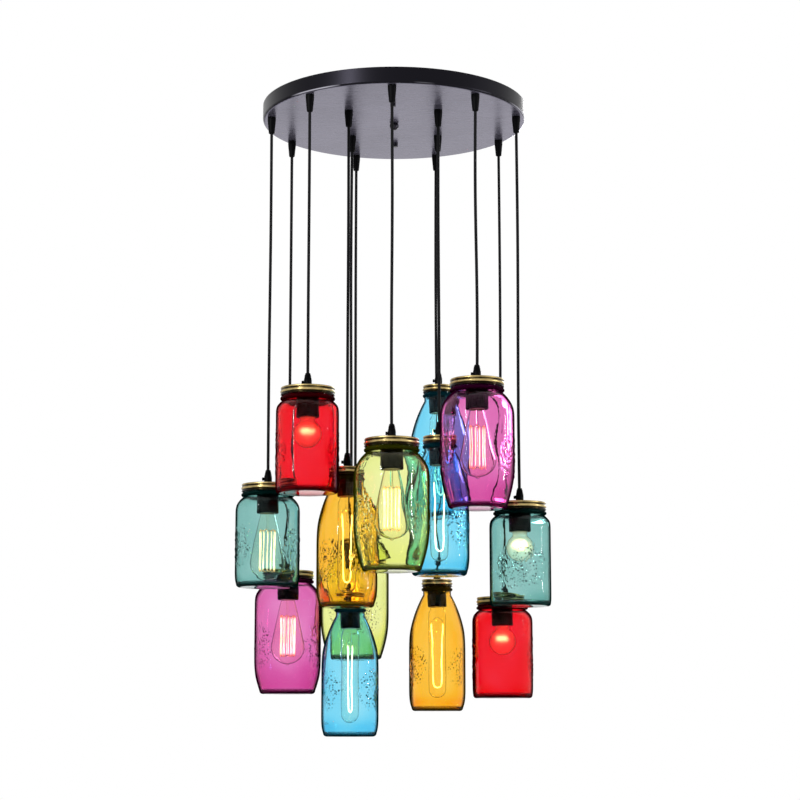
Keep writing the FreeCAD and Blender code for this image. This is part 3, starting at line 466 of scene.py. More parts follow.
def outline(corners, step):
    """Points along an open outline of (radius, height) corners.

    A corner may add a radius and a turn: the stretch to the next corner is then an arc of that
    radius, turning left for +1 and right for -1.
    """
    points = []
    for here, there in zip(corners, corners[1:]):
        begin = np.array(here[:2], float)
        finish = np.array(there[:2], float)
        along = finish - begin
        length = np.hypot(*along)
        if len(here) == 2:
            count = max(1, math.ceil(length / step))
            points += [begin + along * part / count for part in range(count)]
            continue
        radius, turn = here[2], here[3]
        left = np.array((-along[1], along[0])) / length
        rise = math.sqrt(max(radius ** 2 - (length / 2) ** 2, 0.0))
        centre = begin + along / 2 + left * turn * rise
        first = math.atan2(*(begin - centre)[::-1])
        last = math.atan2(*(finish - centre)[::-1])
        sweep = (last - first) * turn % (2 * math.pi) * turn
        count = max(LEAST_ARC_STEPS, math.ceil(abs(sweep) * radius / step))
        for part in range(count):
            angle = first + sweep * part / count
            points.append(centre + radius * np.array((math.cos(angle), math.sin(angle))))
    points.append(np.array(corners[-1][:2], float))
    return points


def even_angles(count):
    return np.arange(count) * 2 * math.pi / count


def turned(points, angles, shape=None, closed=False):
    """Vertices and faces of an outline turned about Z; its ends on the axis close to a point."""
    outline_points = np.array(points)
    radius = np.repeat(outline_points[:, :1], len(angles), 1)
    height = np.repeat(outline_points[:, 1:], len(angles), 1)
    if shape is not None:
        radius, height = shape(radius, height, angles)
    on_axis = outline_points[:, 0] < ON_AXIS
    vertices = []
    rings = []
    for index in range(len(outline_points)):
        start = len(vertices)
        if on_axis[index]:
            vertices.append((0.0, 0.0, float(height[index].mean())))
            rings.append([start] * len(angles))
            continue
        across = radius[index] * np.cos(angles)
        along = radius[index] * np.sin(angles)
        vertices += list(zip(across.tolist(), along.tolist(), height[index].tolist()))
        rings.append(list(range(start, start + len(angles))))
    faces = []
    pairs = list(zip(rings, rings[1:]))
    if closed:
        pairs.append((rings[-1], rings[0]))
    for low, high in pairs:
        for side in range(len(angles)):
            after = (side + 1) % len(angles)
            corners = [low[side], low[after], high[after], high[side]]
            face = [corner for spot, corner in enumerate(corners) if corner not in corners[:spot]]
            if len(face) > 2:
                faces.append(face)
    return vertices, faces


def tube(points, radius, sides=8):
    """Vertices and faces of a round wire along points."""
    path = [Vector(point) for point in points]
    vertices = []
    side_way = None
    for index, point in enumerate(path):
        before = path[max(index - 1, 0)]
        after = path[min(index + 1, len(path) - 1)]
        along = (after - before).normalized()
        if side_way is None:
            side_way = along.orthogonal().normalized()
        side_way = (side_way - along * side_way.dot(along)).normalized()
        other_way = along.cross(side_way)
        for side in range(sides):
            angle = 2 * math.pi * side / sides
            offset = side_way * math.cos(angle) + other_way * math.sin(angle)
            vertices.append(tuple(point + offset * radius))
    faces = []
    for index in range(len(path) - 1):
        for side in range(sides):
            after = (side + 1) % sides
            low, high = index * sides, (index + 1) * sides
            faces.append([low + side, low + after, high + after, high + side])
    faces.append(list(range(sides))[::-1])
    last = (len(path) - 1) * sides
    faces.append(list(range(last, last + sides)))
    return vertices, faces


def moved(part, matrix):
    vertices, faces = part
    return [tuple(matrix @ Vector(vertex)) for vertex in vertices], faces


def make_mesh(name, parts, material, sharp_angle=40.0):
    """One mesh from several closed parts, smooth but for its sharp edges."""
    vertices = []
    faces = []
    for part_vertices, part_faces in parts:
        start = len(vertices)
        vertices += part_vertices
        faces += [[corner + start for corner in face] for face in part_faces]
    mesh = bpy.data.meshes.new(name)
    mesh.from_pydata(vertices, [], faces)
    shaped = bmesh.new()
    shaped.from_mesh(mesh)
    bmesh.ops.recalc_face_normals(shaped, faces=shaped.faces)
    shaped.to_mesh(mesh)
    shaped.free()
    mesh.shade_smooth()
    mesh.set_sharp_from_angle(angle=math.radians(sharp_angle))
    mesh.materials.append(material)
    return mesh


def give_values(mesh, name, values):
    """Stores one number for each point of a mesh, for its finish to read."""
    mesh.attributes.new(name, "FLOAT", "POINT").data.foreach_set("value", values)


def add_piece(name, data, place, body, replaced):
    """Puts a mesh or curve into the scene on a body, standing for a solid."""
    piece = bpy.data.objects.new(name, data)
    bpy.context.scene.collection.objects.link(piece)
    piece.location = place
    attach(piece, body)
    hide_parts(replaced)
    return piece


# Vessels, in millimetres

VESSELS = {
    "short": dict(
        flats=100, corners=107, height=170, mouth=41.3, lid_height=12.8, neck_inset=1.5, neck=1,
        shoulder=28, taper=20, taper_inset=3.5),
    "large": dict(
        flats=112, corners=120, height=208, mouth=41.3, lid_height=12.8, neck_inset=1.5, neck=1,
        shoulder=44, taper=80, taper_inset=13.5),
    "bottle": dict(
        flats=96, corners=100, height=228, mouth=24.55, lid_height=12.4, neck_inset=0.2, neck=7,
        shoulder=102, taper=34, taper_inset=6),
}
OUTER_STEP = 2.4
INNER_STEP = 6.0
SECTION_MARGIN = 1.0
SQUARE_SOFTNESS = 3.0
HEEL = 6.0
INNER_HEEL = 1.05 * HEEL
FOOT_WIDTH = 5.0
PUNT = 2.0
BASE_GLASS = 4.0
BEAD_GAP = 5.2
BEAD_HALF = 2.4
BEAD_LEDGE = 1.2
BEAD_RADIUS = 2.7
BEAD_EASE = 0.4
BEAD_CLEAR = 1.0
RIM_DROP = 1.1
LIP = 1.3
WAVE_HEIGHT = 0.16
LONG_WAVE = 21.0
SHORT_WAVE = 13.0
FLOOR_MIDDLE = 20.0
FOOT_EDGE_SHADE = 0.1


def rise_arc(across, along):
    """Radius of an arc that starts along a straight side and gives way by across over along."""
    return (across ** 2 + along ** 2) / (2 * across)


def vessel_outlines(size):
    """Outer outline from the base's middle up to the rim, and inner outline back down."""
    neck = size["mouth"] - size["neck_inset"]
    body = size["corners"] / 2 + SECTION_MARGIN
    foot = body - size["taper_inset"]
    base = -size["height"]
    bead = -size["lid_height"] - BEAD_GAP
    shoulder_top = bead - BEAD_HALF - size["neck"]
    shoulder_end = shoulder_top - size["shoulder"]
    taper_end = base + HEEL
    taper_top = taper_end + size["taper"]
    shoulder_arc = rise_arc(body - neck, size["shoulder"])
    taper_arc = rise_arc(size["taper_inset"], size["taper"])
    foot_inner = foot - HEEL - FOOT_WIDTH
    outer = [
        (0, base + PUNT, rise_arc(PUNT, foot_inner), -1),
        (foot_inner, base),
        (foot - HEEL, base, HEEL, 1),
        (foot, taper_end, taper_arc, 1),
        (body, taper_top),
        (body, shoulder_end, shoulder_arc, 1),
        (neck, shoulder_top),
        (neck, bead - BEAD_HALF - BEAD_EASE),
        (size["mouth"] + BEAD_LEDGE, bead - BEAD_HALF, BEAD_RADIUS, 1),
        (size["mouth"] + BEAD_LEDGE, bead + BEAD_HALF),
        (size["mouth"], bead + BEAD_HALF + BEAD_EASE),
        (size["mouth"], -RIM_DROP - LIP, LIP, 1),
        (size["mouth"] - LIP, -RIM_DROP),
    ]
    bore = neck - GLASS_WALL
    shoulder_inside = shoulder_arc - GLASS_WALL
    bore_end = shoulder_end + math.sqrt(shoulder_inside ** 2 - (bore - body + shoulder_arc) ** 2)
    floor = base + BASE_GLASS
    floor_radius = foot - GLASS_WALL
    floor_flat = floor_radius - HEEL
    inner = [
        (bore, -RIM_DROP),
        (bore, bore_end, shoulder_inside, -1),
        (body - GLASS_WALL, shoulder_end),
        (body - GLASS_WALL, taper_top + HEEL, taper_arc, -1),
        (floor_radius, taper_end + HEEL, INNER_HEEL, -1),
        (floor_flat, floor, rise_arc(PUNT, floor_flat), 1),
        (0, floor + PUNT),
    ]
    return outer, inner


def square_reach(angles, flat, corner):
    """How far a rounded square reaches from its middle at each angle."""
    fold = np.abs((angles + math.pi / 4) % (math.pi / 2) - math.pi / 4)
    straight = flat - corner
    on_flat = np.tan(fold) * flat <= straight
    middle = straight * (np.cos(fold) + np.sin(fold))
    room = np.maximum(corner ** 2 - (straight * (np.cos(fold) - np.sin(fold))) ** 2, 0.0)
    return np.where(on_flat, flat / np.cos(fold), middle + np.sqrt(room))


def soft_least(first, second, width):
    """The lesser of two lengths, with a soft change over a width."""
    lean = np.clip(0.5 + 0.5 * (second - first) / width, 0.0, 1.0)
    return second * (1 - lean) + first * lean - width * lean * (1 - lean)


# Raised ornament: loose sprigs of pebbles and leaves, pressed in the glass on two opposite sides
ORNAMENT_SPAN = {"short": (-66, -142), "large": (-82, -168), "bottle": (-112, -188)}
ORNAMENT_HALF_WIDTH = math.radians(36)
ORNAMENT_FILL = (0.9, 0.92)
JAR_REACH = 50.0
PEBBLE_COUNT = 46
LEAF_COUNT = 9
CLOSENESS = 0.62
MOST_TRIES = 4000


def sprig(kind, seed):
    """Pebbles and leaves of one ornament: angle, height, half length, half width, tilt and lift."""
    draw = random.Random(seed)
    top, bottom = ORNAMENT_SPAN[kind]
    middle = (top + bottom) / 2
    half_height = (top - bottom) / 2
    forms = []
    tries = 0
    while len(forms) < PEBBLE_COUNT + LEAF_COUNT and tries < MOST_TRIES:
        tries += 1
        across = draw.uniform(-1, 1)
        up = draw.uniform(-1, 1)
        if across ** 2 + up ** 2 > 1:
            continue
        leaf = len(forms) < LEAF_COUNT
        length = draw.uniform(5.0, 7.5) if leaf else draw.uniform(1.9, 3.3)
        width = draw.uniform(2.2, 3.0) if leaf else length * draw.uniform(0.8, 1.0)
        angle = across * ORNAMENT_HALF_WIDTH * ORNAMENT_FILL[0]
        height = middle + up * half_height * ORNAMENT_FILL[1]
        near = False
        for other in forms:
            gap = math.hypot((angle - other[0]) * JAR_REACH, height - other[1])
            near = near or gap < CLOSENESS * (length + other[2])
        if near:
            continue
        lift = draw.uniform(0.5, 0.8) if leaf else draw.uniform(0.5, 1.0)
        forms.append((angle, height, length, width, draw.uniform(0, math.pi), lift))
    return forms


def jar_angles(facing):
    """Angles round a jar, closer together where it has its ornament."""
    fine, coarse = 52, 26
    angles = []
    for side in (0.0, math.pi):
        start = facing + side - ORNAMENT_HALF_WIDTH
        rest = math.pi - 2 * ORNAMENT_HALF_WIDTH
        angles += [start + 2 * ORNAMENT_HALF_WIDTH * step / fine for step in range(fine)]
        angles += [start + 2 * ORNAMENT_HALF_WIDTH + rest * step / coarse for step in range(coarse)]
    return np.array(angles)


def ornament_share(vertices, kind, facing, outer_count):
    """How far each point of a jar lies in its ornament, from 0 to 1, on the outer surface only."""
    points = np.array(vertices)
    top, bottom = ORNAMENT_SPAN[kind]
    up = (points[:, 2] / MM - (top + bottom) / 2) / ((top - bottom) / 2)
    around = np.arctan2(points[:, 1], points[:, 0]) - facing
    across = ((around + math.pi / 2) % math.pi - math.pi / 2) / ORNAMENT_HALF_WIDTH
    edge_rise = 2.5
    inside = np.clip(edge_rise * (1 - across ** 2 - up ** 2), 0.0, 1.0)
    inside[outer_count:] = 0.0
    return inside


def heel_shade(over_base):
    """Painted shade on the heavy heel at heights over the base, standing in for the dark line that
    refraction gives there.
    """
    darkest = 0.92
    return darkest * np.interp(over_base, [0.3, 1.0, 4.5, 9.0], [0.4, 1.0, 1.0, 0.0])


def bead_shade(over_bead):
    """Painted shade on the bead in the shadow of the lid, at heights from its middle."""
    darkest = 0.94
    return darkest * np.interp(over_bead, [-4.4, -2.4, 2.4, 5.2], [0.0, 1.0, 1.0, 0.6])


def jar_mesh(name, kind, colour, turn, facing, seed):
    """A blown jar: turned, squared, hollowed and with its ornament pressed in."""
    size = VESSELS[kind]
    outer_corners, inner_corners = vessel_outlines(size)
    outer = outline(outer_corners, OUTER_STEP)
    inner = outline(inner_corners, INNER_STEP)
    wall = np.array([0.0] * len(outer) + [GLASS_WALL] * len(inner))[:, None]
    is_outer = wall == 0.0
    corner = (size["flats"] / 2 * math.sqrt(2) - size["corners"] / 2) / (math.sqrt(2) - 1)
    bead = -size["lid_height"] - BEAD_GAP
    squared_from, squared_over = 0.8 * size["mouth"], 4.0
    angles = jar_angles(facing)
    sprigs = [sprig(kind, seed), sprig(kind, seed + 1)]

    def shape(radius, height, around):
        square = square_reach(around[None, :] - turn, size["flats"] / 2 - wall, corner - wall)
        squared = soft_least(radius, square, SQUARE_SOFTNESS)
        body_share = np.clip((radius - squared_from) / squared_over, 0.0, 1.0)
        below_bead = height < bead - BEAD_HALF - BEAD_CLEAR
        radius = np.where(below_bead, radius + (squared - radius) * body_share, radius)
        wave = np.sin(3 * around + height / LONG_WAVE + seed)
        wave = wave + np.sin(5 * around - height / SHORT_WAVE)
        wavy = below_bead & ~is_outer & (radius > FLOOR_MIDDLE)
        radius = radius + np.where(wavy, WAVE_HEIGHT * wave, 0.0)
        lift = np.zeros_like(radius)
        for side, forms in enumerate(sprigs):
            offset = (around - facing - side * math.pi + math.pi) % (2 * math.pi) - math.pi
            for angle, level, length, width, tilt, rise in forms:
                across = (offset[None, :] - angle) * radius
                up = height - level
                along = (across * math.cos(tilt) + up * math.sin(tilt)) / length
                beside = (up * math.cos(tilt) - across * math.sin(tilt)) / width
                dome = np.clip(1 - along ** 2 - beside ** 2, 0.0, 1.0)
                lift = np.maximum(lift, rise * np.sqrt(dome) * dome ** 0.3)
        return (radius + np.where(is_outer, lift, 0.0)) * MM, height * MM

    part = turned(outer + inner, angles, shape)
    mesh = make_mesh(name, [part], FINISHES[colour], sharp_angle=60.0)
    outer_count = 1 + (len(outer) - 1) * len(angles)
    give_values(mesh, ORNAMENT, ornament_share(part[0], kind, facing, outer_count))
    levels = np.array([point[1] for point in outer])
    foot_rows = np.argmin(levels) + 3
    # Weight of the painted edge shade: full on the outer glass, faint on the foot, none inside
    edge_shade_weight = np.where(np.arange(len(levels)) < foot_rows, FOOT_EDGE_SHADE, 1.0)
    # Painted shade on the heel and on the bead under the lid
    dark = np.maximum(heel_shade(levels + size["height"]), bead_shade(levels - bead))
    for key, values in ((EDGE_SHADE, edge_shade_weight), (PAINTED_SHADE, dark * edge_shade_weight)):
        around = np.repeat(values, len(angles))[len(angles) - 1:]
        give_values(mesh, key, np.concatenate((around, np.zeros(len(part[0]) - len(around)))))
    return mesh


# Lids, as radius and height, cord grips and lamp holders, in millimetres

LIDS = {"wide": (43.25, 12.8), "narrow": (26.5, 12.4)}
LID_OF = {"short": "wide", "large": "wide", "bottle": "narrow"}
HOLDER_RADIUS = {"wide": 18.5, "narrow": 16.5}


def lid_mesh(kind):
    """Screw band with two rolled beads and a thread line, and its sunk disc with a raised ring."""
    edge, height = LIDS[kind]
    panel = -PANEL_DROP
    hole = 5.15
    rim = 7.0
    roll = 1.6
    groove = edge - 1.0
    inside = edge - roll
    band = outline([
        (hole, panel),
        (edge - rim - 9, panel),
        (edge - rim - 8, panel + 0.5, 1.6, -1),
        (edge - rim - 5, panel + 0.5),
        (edge - rim - 4, panel),
        (edge - rim - 1.2, panel),
        (edge - rim, 0),
        (inside, 0, roll, -1),
        (edge, -roll),
        (edge, -0.18 * height),
        (groove, -0.25 * height),
        (groove, -0.4 * height),
        (edge, -0.46 * height, 0.15 * height, -1),
        (edge, -0.7 * height),
        (groove, -0.76 * height),
        (groove, -0.85 * height),
        (edge - 0.1, -0.88 * height, 1.0, -1),
        (edge - 0.1, -height),
        (inside, -height),
        (inside, -LID_SHEET),
        (edge - rim + 0.3, -LID_SHEET),
        (edge - rim - 0.9, panel - LID_SHEET),
        (hole, panel - LID_SHEET),
        (hole, panel),
    ], step=0.8)
    ridge_height, ridge_width = 0.4, 0.6

    def shape(radius, level, angles):
        thread = -0.3 * height - 0.1 * height * (angles / (2 * math.pi))
        ridge = ridge_height * np.exp(-(((level - thread[None, :]) / ridge_width) ** 2))
        return (radius + np.where(radius > edge - 1.2, ridge, 0.0)) * MM, level * MM

    part = turned(band[:-1], even_angles(120), shape, closed=True)
    mesh = make_mesh(f"{kind}_lid", [part], FINISHES["brass"], sharp_angle=50.0)
    points = np.array(part[0]) / MM
    reach = np.hypot(points[:, 0], points[:, 1])
    # Brightness for the brass: the proud beads rubbed and painted as lit, the grooves in painted shade,
    # the top a little darker than the beads
    proud_over = 0.8
    proud = np.clip((reach - groove) / proud_over, 0.0, 1.0)
    on_top = (points[:, 2] > -0.3) | (reach < edge - rim - 2)
    top_wear_and_shade = 0.75
    give_values(mesh, WEAR_AND_SHADE, np.where(on_top, top_wear_and_shade, proud))
    return mesh


def scaled(points):
    return [(point[0] * MM, point[1] * MM) for point in points]


def grip_mesh():
    """Tapered cord grip with ribs, and the knurled thumb screw in its side."""
    bottom, top = -1.2, 24.0
    corners = [
        (CORD_HOLE, bottom), (6.5, bottom), (6.5, 2.0), (5.9, 2.6), (5.9, 4.6), (6.5, 5.2), (6.5, 11.5),
    ]
    rib_count = 4
    for rib in range(rib_count):
        level = 12.5 + 2.4 * rib
        radius = 6.2 - 0.42 * rib
        corners += [(radius, level, 0.8, 1), (radius - 0.1, level + 1.3), (radius - 0.7, level + 1.7)]
    corners += [(4.3, 22.6, 1.4, 1), (2.9, top), (CORD_HOLE, top), (CORD_HOLE, bottom)]
    body = turned(scaled(outline(corners, step=1.5)[:-1]), even_angles(40), closed=True)
    head_radius, head_length = 2.7, 3.4
    knurls = 14
    head = outline([
        (0, 0),
        (head_radius - 0.3, 0),
        (head_radius, 0.4),
        (head_radius, head_length - 0.5),
        (head_radius - 0.5, head_length),
        (0, head_length),
    ], step=1.0)

    def knurl(radius, level, angles):
        notch = 1 - 0.06 * (1 + np.cos(knurls * angles[None, :])) * (radius > 0.8 * head_radius)
        return radius * notch * MM, level * MM

    screw = turned(head, even_angles(knurls * 4), knurl)
    sideways = Matrix.Translation((-6.55 * MM, 0, 9 * MM)) @ Matrix.Rotation(-math.pi / 2, 4, "Y")
    return make_mesh("cord_grip", [body, moved(screw, sideways)], FINISHES["black"])


def holder_mesh(kind):
    """Moulded lamp holder: a plain upper body, a joint line and a ribbed lower collar."""
    radius = HOLDER_RADIUS[kind]
    top = -(PANEL_DROP + LID_SHEET)
    depth = -HOLDER_DEPTH
    socket = 13.6
    socket_floor = depth + 27.0
    collar_top = depth + 21.0
    corners = [
        (0, top),
        (radius - 4, top, 4, -1),
        (radius, top - 4),
        (radius, collar_top + 2.2),
        (radius - 0.9, collar_top + 1.6),
        (radius - 0.9, collar_top + 0.6),
        (radius, collar_top),
        (radius, collar_top - 3),
        (radius, collar_top - 15),
        (radius, depth + 1.4),
        (radius - 0.8, depth),
        (socket, depth),
        (socket, socket_floor),
        (0, socket_floor),
    ]
    ribs = 30

    def collar(across, level, angles):
        in_collar = (level < collar_top - 2.4) & (level > depth + 4.0) & (across > radius - 0.2)
        rib = 0.25 * (np.cos(ribs * angles[None, :]) - 1)
        return (across + np.where(in_collar, rib, 0.0)) * MM, level * MM

    part = turned(outline(corners, step=3.0), even_angles(ribs * 4), collar)
    return make_mesh(f"{kind}_holder", [part], FINISHES["black"])


# Lamps, in millimetres

LAMPS = {
    "pear": dict(radius=29.0, length=113.0, taper=12.5),
    "tube": dict(radius=15.0, length=159.0, taper=0.0),
    "globe": dict(radius=22.5, length=49.0, taper=0.0),
}
LAMP_WALL = 0.8
LAMP_STEP = 2.5
PEAR_TIP = 2.4


def lamp_side(kind, wall):
    """Corners of a lamp's glass from its neck to its tip."""
    size = LAMPS[kind]
    ball = size["radius"] - wall
    neck = LAMP_NECK - wall
    depth = -HOLDER_DEPTH
    centre = depth - size["length"] + size["radius"]
    neck_top = depth + 20.0
    if kind == "globe":
        join = centre + math.sqrt(ball ** 2 - neck ** 2)
        return [(neck, neck_top), (neck, join, ball, -1), (ball, centre, ball, -1), (0, centre - ball)]
    if kind == "tube":
        shoulder = depth - 4 - wall
        return [(neck, neck_top), (neck, shoulder), (ball, shoulder - 2 * (ball - neck)),
                (ball, centre, ball, -1), (0, centre - ball)]
    centre += PEAR_TIP
    lean = math.radians(size["taper"])
    touch = (ball * math.cos(lean), centre + ball * math.sin(lean))
    shoulder = touch[1] + (touch[0] - neck) / math.tan(lean)
    tip_width = 4.0 - wall
    tip_start = centre - math.sqrt(ball ** 2 - tip_width ** 2)
    return [(neck, neck_top), (neck, shoulder), (*touch, ball, -1), (tip_width, tip_start),
            (1.8 - wall, tip_start - 0.8 * PEAR_TIP), (0, tip_start - PEAR_TIP)]


def lamp_glass_mesh(kind):
    """Blown lamp glass with an even wall."""
    outer = outline(lamp_side(kind, 0.0), LAMP_STEP)
    inner = outline(lamp_side(kind, LAMP_WALL), LAMP_STEP)[::-1]
    part = turned(scaled(outer + inner), even_angles(56), closed=True)
    finish = "frosted_lamp_glass" if kind == "globe" else "clear_lamp_glass"
    return make_mesh(f"{kind}_lamp_glass", [part], FINISHES[finish], sharp_angle=60.0)


def lamp_cap_mesh():
    """Screw cap with its thread, insulating cone and centre contact."""
    depth = -HOLDER_DEPTH
    radius = CAP_RADIUS
    pitch = 3.6
    thread_depth = 0.5
    corners = [
        (0, depth + 25.5), (4.8, depth + 25.5), (5.0, depth + 24.8), (radius - 1.4, depth + 22.0),
        (radius, depth + 21.0), (radius, depth - 1.0), (radius - 0.8, depth - 1.0),
        (radius - 0.8, depth + 20.5), (0, depth + 20.5),
    ]

    def thread(across, level, angles):
        wave = np.cos(2 * math.pi * level / pitch - angles[None, :]) - 1
        on_wall = (across > radius - 0.1) & (level < depth + 20.5) & (level > depth + 1.5)
        return (across + np.where(on_wall, 0.5 * thread_depth * wave, 0.0)) * MM, level * MM

    part = turned(outline(corners, step=0.9), even_angles(48), thread)
    return make_mesh("lamp_cap", [part], FINISHES["cap_metal"])


def ring_points(radius, level, count, phase=0.0):
    return [
        (radius * math.cos(phase + 2 * math.pi * step / count),
         radius * math.sin(phase + 2 * math.pi * step / count), level)
        for step in range(count)
    ]


def stem_mesh(kind, top, bottom):
    """Glass stem from the cap, flared at its foot and beaded at both ends of the filament."""
    depth = -HOLDER_DEPTH
    stem = outline([
        (0, depth + 18.5), (10.4, depth + 18.5), (10.4, depth + 17.5), (4.0, depth + 9.0, 14.0, 1),
        (2.2, depth - 2.0), (2.2, top + 4.0), (2.8, top + 2.5, 2.8, -1), (1.1, top - 0.5),
        (1.1, bottom + 1.0), (2.0, bottom, 1.8, -1), (0, bottom - 1.8),
    ], step=3.0)
    part = turned(scaled(stem), even_angles(20))
    return make_mesh(f"{kind}_stem", [part], FINISHES["clear_lamp_glass"])


def wire(points, radius, sides=6):
    """A round wire along points that are given in millimetres."""
    return tube([tuple(MM * part for part in point) for point in points], radius * MM, sides)


# Filaments, in millimetres below the lid: a cage of strands, a long hairpin, a small wound coil
STEM_ENDS = {"pear": (-78, -143), "tube": (-72, -90), "globe": (-62, -79)}
CAGE = dict(top=-78, bottom=-143, radius=12.5, strands=12, tip=2.5)
HAIRPIN = dict(top=-76, bottom=-181, wide=9.6, narrow=7.0)
COIL = dict(middle=-70, ring=6.8, coil=3.2, turns=13)
COIL_SWEEP = 1.7 * math.pi
WIRE_RADIUS = dict(hairpin=1.15, strand=0.75, tip=0.6, coil=0.9, support=0.3)


def cage_tips(level, tip, first):
    """Where neighbouring strands of the cage meet, beyond a level, from the first strand on."""
    strands = CAGE["strands"]
    half_step = math.pi / strands
    points = ring_points(CAGE["radius"] * math.cos(half_step), level + tip, strands, half_step)
    return points[first::2]


def filament_mesh(kind):
    """The glowing wire of a lamp."""
    if kind == "tube":
        top, bottom, wide, narrow = HAIRPIN.values()
        side = []
        strand_steps = 16
        for step in range(strand_steps):
            down = step / strand_steps
            across = wide + (narrow - wide) * down + 0.3 * math.sin(step)
            side.append((across, 0.25 * math.cos(2 * step), top + (bottom - top) * down))
        turn_steps = 6
        bend = []
        for step in range(turn_steps + 1):
            angle = math.pi * step / turn_steps
            bend.append((narrow * math.cos(angle), 0, bottom - narrow * math.sin(angle)))
        loop = side + bend + [(-across, beside, level) for across, beside, level in side[::-1]]
        parts = [wire(loop, WIRE_RADIUS["hairpin"], 8)]
    elif kind == "pear":
        strands = CAGE["strands"]
        high = ring_points(CAGE["radius"], CAGE["top"], strands)
        low = ring_points(CAGE["radius"], CAGE["bottom"], strands)
        parts = [wire(run, WIRE_RADIUS["strand"]) for run in zip(high, low)]
        for ends, tip, first in ((high, CAGE["tip"], 0), (low, -CAGE["tip"], 1)):
            for index, point in enumerate(cage_tips(ends[0][2], tip, first)):
                strand = 2 * index + first
                run = [ends[strand], point, ends[(strand + 1) % strands]]
                parts.append(wire(run, WIRE_RADIUS["tip"]))
    else:
        middle, ring, coil, turns = COIL.values()
        loop = []
        steps = 8
        for step in range(turns * steps):
            around = COIL_SWEEP * step / (turns * steps)
            twist = 2 * math.pi * step / steps
            reach = ring + coil * math.cos(twist)
            level = middle + coil * math.sin(twist)
            loop.append((reach * math.cos(around), reach * math.sin(around), level))
        parts = [wire(loop, WIRE_RADIUS["coil"])]
    return make_mesh(f"{kind}_filament", parts, FINISHES[kind])


def support_mesh(kind):
    """Wires that hold a filament on its stem."""
    top, bottom = STEM_ENDS[kind]
    runs = []
    if kind == "tube":
        for side in (1, -1):
            across = side * HAIRPIN["wide"]
            runs.append([(side, 0, top + 6), (across, 0, top), (across, 0, top - 5)])
    elif kind == "pear":
        for level, tip, first in ((top, CAGE["tip"], 0), (bottom, -CAGE["tip"], 1)):
            runs += [[(0, 0, level), point] for point in cage_tips(level, tip, first)]
    else:
        reach = COIL["ring"] + COIL["coil"]
        for around in (0.0, COIL_SWEEP):
            across, beside = reach * math.cos(around), reach * math.sin(around)
            runs.append([(0, 0, top + 3), (across, beside, top), (across, beside, COIL["middle"])])
    parts = [wire(run, WIRE_RADIUS["support"]) for run in runs]
    return make_mesh(f"{kind}_supports", parts, FINISHES["zinc"])


MESHES = {
    "lid": {kind: lid_mesh(kind) for kind in LIDS},
    "holder": {kind: holder_mesh(kind) for kind in LIDS},
    "grip": grip_mesh(),
    "cap": lamp_cap_mesh(),
    "glass": {kind: lamp_glass_mesh(kind) for kind in LAMPS},
    "stem": {kind: stem_mesh(kind, *STEM_ENDS[kind]) for kind in LAMPS},
    "filament": {kind: filament_mesh(kind) for kind in LAMPS},
    "supports": {kind: support_mesh(kind) for kind in LAMPS},
}


# The line of a taut cord: how far down each point lies and how far it bows aside
CORD_LINE = ((0.0, 0.0), (0.2, 0.95), (0.4, 0.6), (0.6, -0.6), (0.8, -0.95), (1.0, 0.0))
CORD_BOW = 1.2 * MM
HOLDER_ENTRY = 17.7 * MM


def cord_piece(name, pivot, lid_top):
    """Straight cord from the canopy grip's mouth into the lamp holder, with a trace of a bow."""
    length = pivot.z - lid_top.z + HOLDER_ENTRY
    draw = random.Random(name)
    bow = Vector((draw.uniform(-1, 1), draw.uniform(-1, 1), 0)) * CORD_BOW
    curve = bpy.data.curves.new(f"{name}_cord", "CURVE")
    curve.dimensions = "3D"
    curve.bevel_depth = CORD_RADIUS * MM
    curve.bevel_resolution = 3
    curve.use_fill_caps = True
    spline = curve.splines.new("NURBS")
    spline.points.add(len(CORD_LINE) - 1)
    for point, (down, aside) in zip(spline.points, CORD_LINE):
        point.co = (*(bow * aside + Vector((0, 0, -length * down))), 1.0)
    spline.order_u = 3
    spline.use_endpoint_u = True
    curve.materials.append(FINISHES["cord"])
    piece = add_piece(f"{name}_cord", curve, pivot, name, f"cord_set_{name}")


SEED_STEP = 11


def build_pendant(name, pivot, number):
    """Every visible piece of one pendant, on its swinging body and its unscrewing jar."""
    vessel, lamp, colour, turn, ornament_turn, lamp_turn = PENDANTS[name]
    lid_kind = LID_OF[vessel]
    lid_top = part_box(f"lid_{name}")[1].z
    place = Vector((pivot.x, pivot.y, lid_top))
    cord_set, lid, bulb, jar = (f"{part}_{name}" for part in ("cord_set", "lid", "bulb", "jar"))
    grip = add_piece(f"{name}_cord_grip", MESHES["grip"], place, name, cord_set)
    holder = add_piece(
        f"{name}_lamp_holder", MESHES["holder"][lid_kind], place, name, cord_set)
    cord_piece(name, pivot, place)
    add_piece(f"{name}_lid_band", MESHES["lid"][lid_kind], place, name, lid)
    add_piece(f"{name}_lamp_glass", MESHES["glass"][lamp], place, name, bulb)
    add_piece(f"{name}_lamp_cap", MESHES["cap"], place, name, bulb)
    add_piece(f"{name}_lamp_stem", MESHES["stem"][lamp], place, name, bulb)
    for wires, slot in (("filament", "bulb_glass"), ("supports", "lid_brass")):
        piece = add_piece(f"{name}_{wires}", MESHES[wires][lamp], place, name, bulb)
        piece.rotation_euler.z = math.radians(lamp_turn)
    facing = math.radians(ornament_turn)
    mesh = jar_mesh(
        f"{name}_glass", vessel, colour, math.radians(turn), facing, SEED_STEP * number)
    add_piece(f"{name}_glass", mesh, place, f"{name}_jar", jar)


SWINGS = [joint for joint in frame["joints"] if joint["name"].endswith("_swing")]
for number, joint in enumerate(SWINGS):
    build_pendant(joint["child"], Vector(joint["pos_m"]), number)

